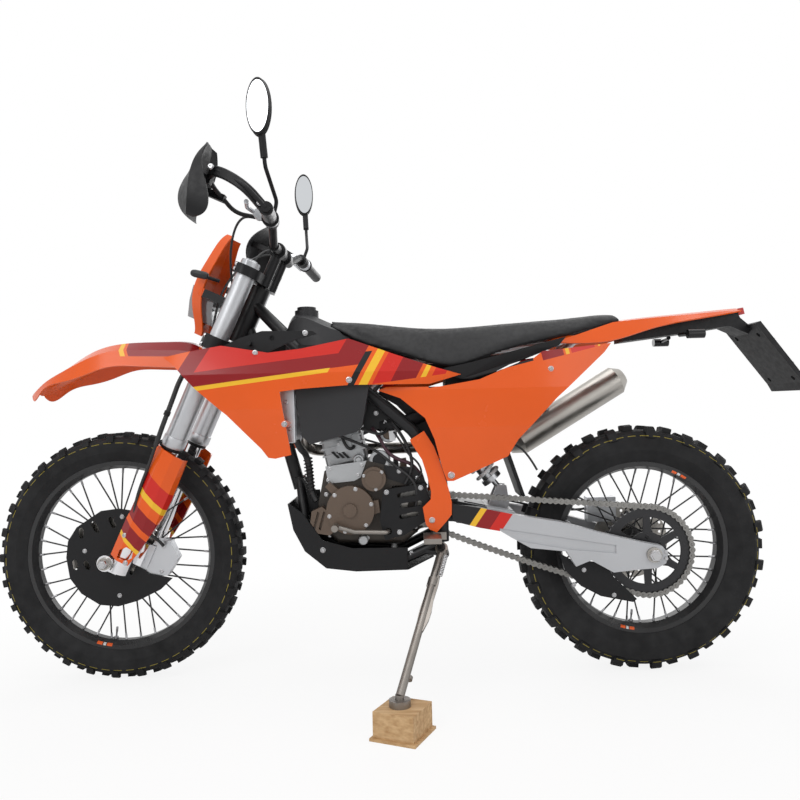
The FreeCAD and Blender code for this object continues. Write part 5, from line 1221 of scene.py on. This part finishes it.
# share of the leg's length, half width behind the leg; ahead of it the web is narrower
WEB_OUTLINE = [(0.05, 12), (0.14, 14), (0.27, 16.5), (0.38, 15), (0.46, 18), (0.52, 17), (0.60, 10.5)]
WEB_AHEAD = 0.62
WEB_HALF_THICKNESS = 0.0045


def stand_web():
    """The flat forged web along the stand's leg, widest at the boss in its middle."""
    top, foot, down, rearward = stand_line()
    thick = down.cross(rearward).normalized() * WEB_HALF_THICKNESS
    line = WEB_OUTLINE + [(share, -half * WEB_AHEAD) for share, half in WEB_OUTLINE[::-1]]
    bm = bmesh.new()
    skin(bm, [[bm.verts.new(top + (foot - top) * share + rearward * (half * MM) + thick * side)
               for share, half in line] for side in SIDES])
    finish_piece(bm, "stand_web", "forged_steel", "side_stand", smooth=False)


WING_POSTS = [(-174, 957), (-262, 946)]
POST_PROFILE = [(0.0, 0.0), (7.0, 0.0), (7.0, 34.0), (0.0, 34.0)]


def wing_posts():
    """The posts that hold the black wings off the shrouds."""
    turned_piece("wing_posts", "black_plastic", "chassis", [
        (surface_at("shroud_wings", x, z, side), LEFTWARD * side, POST_PROFILE, 16)
        for side in SIDES for x, z in WING_POSTS])


PLATE_OUTWARD = (BIKE_TURN @ Vector((168.0, 0.0, 124.0))).normalized()
PLATE_BOLTS = [(1103, -70, 919), (1103, 70, 919), (1153, -70, 852), (1153, 70, 852)]
PLATE_BOLT_RADIUS = 5.0


def plate_bolts():
    """Bolts in the corners of the plate bracket."""
    turned_piece("plate_bolts", "bolt_steel", "chassis", [
        bolt(on_bike(*place), PLATE_OUTWARD, PLATE_BOLT_RADIUS) for place in PLATE_BOLTS])


SEAT_VOXEL = 0.006
SEAT_SMOOTHING, SEAT_SMOOTHING_STEPS = 0.5, 12
SEAT_SWELL = 0.004
PUFF_PRESSURE = 4.0
PUFF_FRAMES = 14


def evaluated_mesh(piece):
    graph = bpy.context.evaluated_depsgraph_get()
    return bpy.data.meshes.new_from_object(piece.evaluated_get(graph))


def seat_cover():
    """The padded seat: the plain seat's outside, softened and swollen a little."""
    piece = bpy.data.objects.new("seat_cover", frame["nodes"]["seat"].data.copy())
    bpy.context.collection.objects.link(piece)
    bpy.context.view_layer.objects.active = piece
    remesh = piece.modifiers.new("voxels", "REMESH")
    remesh.mode = "VOXEL"
    remesh.voxel_size = SEAT_VOXEL
    smooth = piece.modifiers.new("soften", "SMOOTH")
    smooth.factor = SEAT_SMOOTHING
    smooth.iterations = SEAT_SMOOTHING_STEPS
    soft = evaluated_mesh(piece)
    piece.modifiers.clear()
    piece.data = soft
    soft.materials.clear()
    soft.materials.append(FINISHES["seat_vinyl"])
    for face in soft.polygons:
        face.use_smooth = True
    puff(piece, SEAT_SWELL)
    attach(piece, "chassis")
    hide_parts("seat")


def puff(piece, cap):
    """Swells the pad by cloth pressure and caps how far each point moves."""
    before = [vertex.co.copy() for vertex in piece.data.vertices]
    cloth = piece.modifiers.new("cloth", "CLOTH")
    cloth.settings.use_pressure = True
    cloth.settings.uniform_pressure_force = PUFF_PRESSURE
    cloth.settings.effector_weights.gravity = 0.0
    cloth.point_cache.frame_start = 1
    cloth.point_cache.frame_end = PUFF_FRAMES
    scene = bpy.context.scene
    for number in range(1, PUFF_FRAMES + 1):
        scene.frame_set(number)
    places = [vertex.co.copy() for vertex in evaluated_mesh(piece).vertices]
    piece.modifiers.clear()
    scene.frame_set(1)
    for vertex, start, place in zip(piece.data.vertices, before, places):
        move = place - start
        if move.length > cap:
            move *= cap / move.length
        vertex.co = start + move


set_camera()
set_light()
make_floor()
FINISHES = make_finishes()
dress_nodes()
for wheel in WHEELS:
    wheel_details(*wheel)
make_sprocket()
side_trim()
make_chain()
fork_details()
mirror_glass()
guard_straps()
front_lines()
indicators()
surface_bolts()
chassis_hoses([RADIATOR_HOSE])
hose_guard()
chassis_hoses(CHASSIS_HOSES)
engine_parts()
chassis_hoses(OUTER_HOSES)
shock_coil()
stand_spring()
stand_web()
wing_posts()
seat_cover()
plate_bolts()
bpy.context.scene.view_settings.view_transform = "Standard"
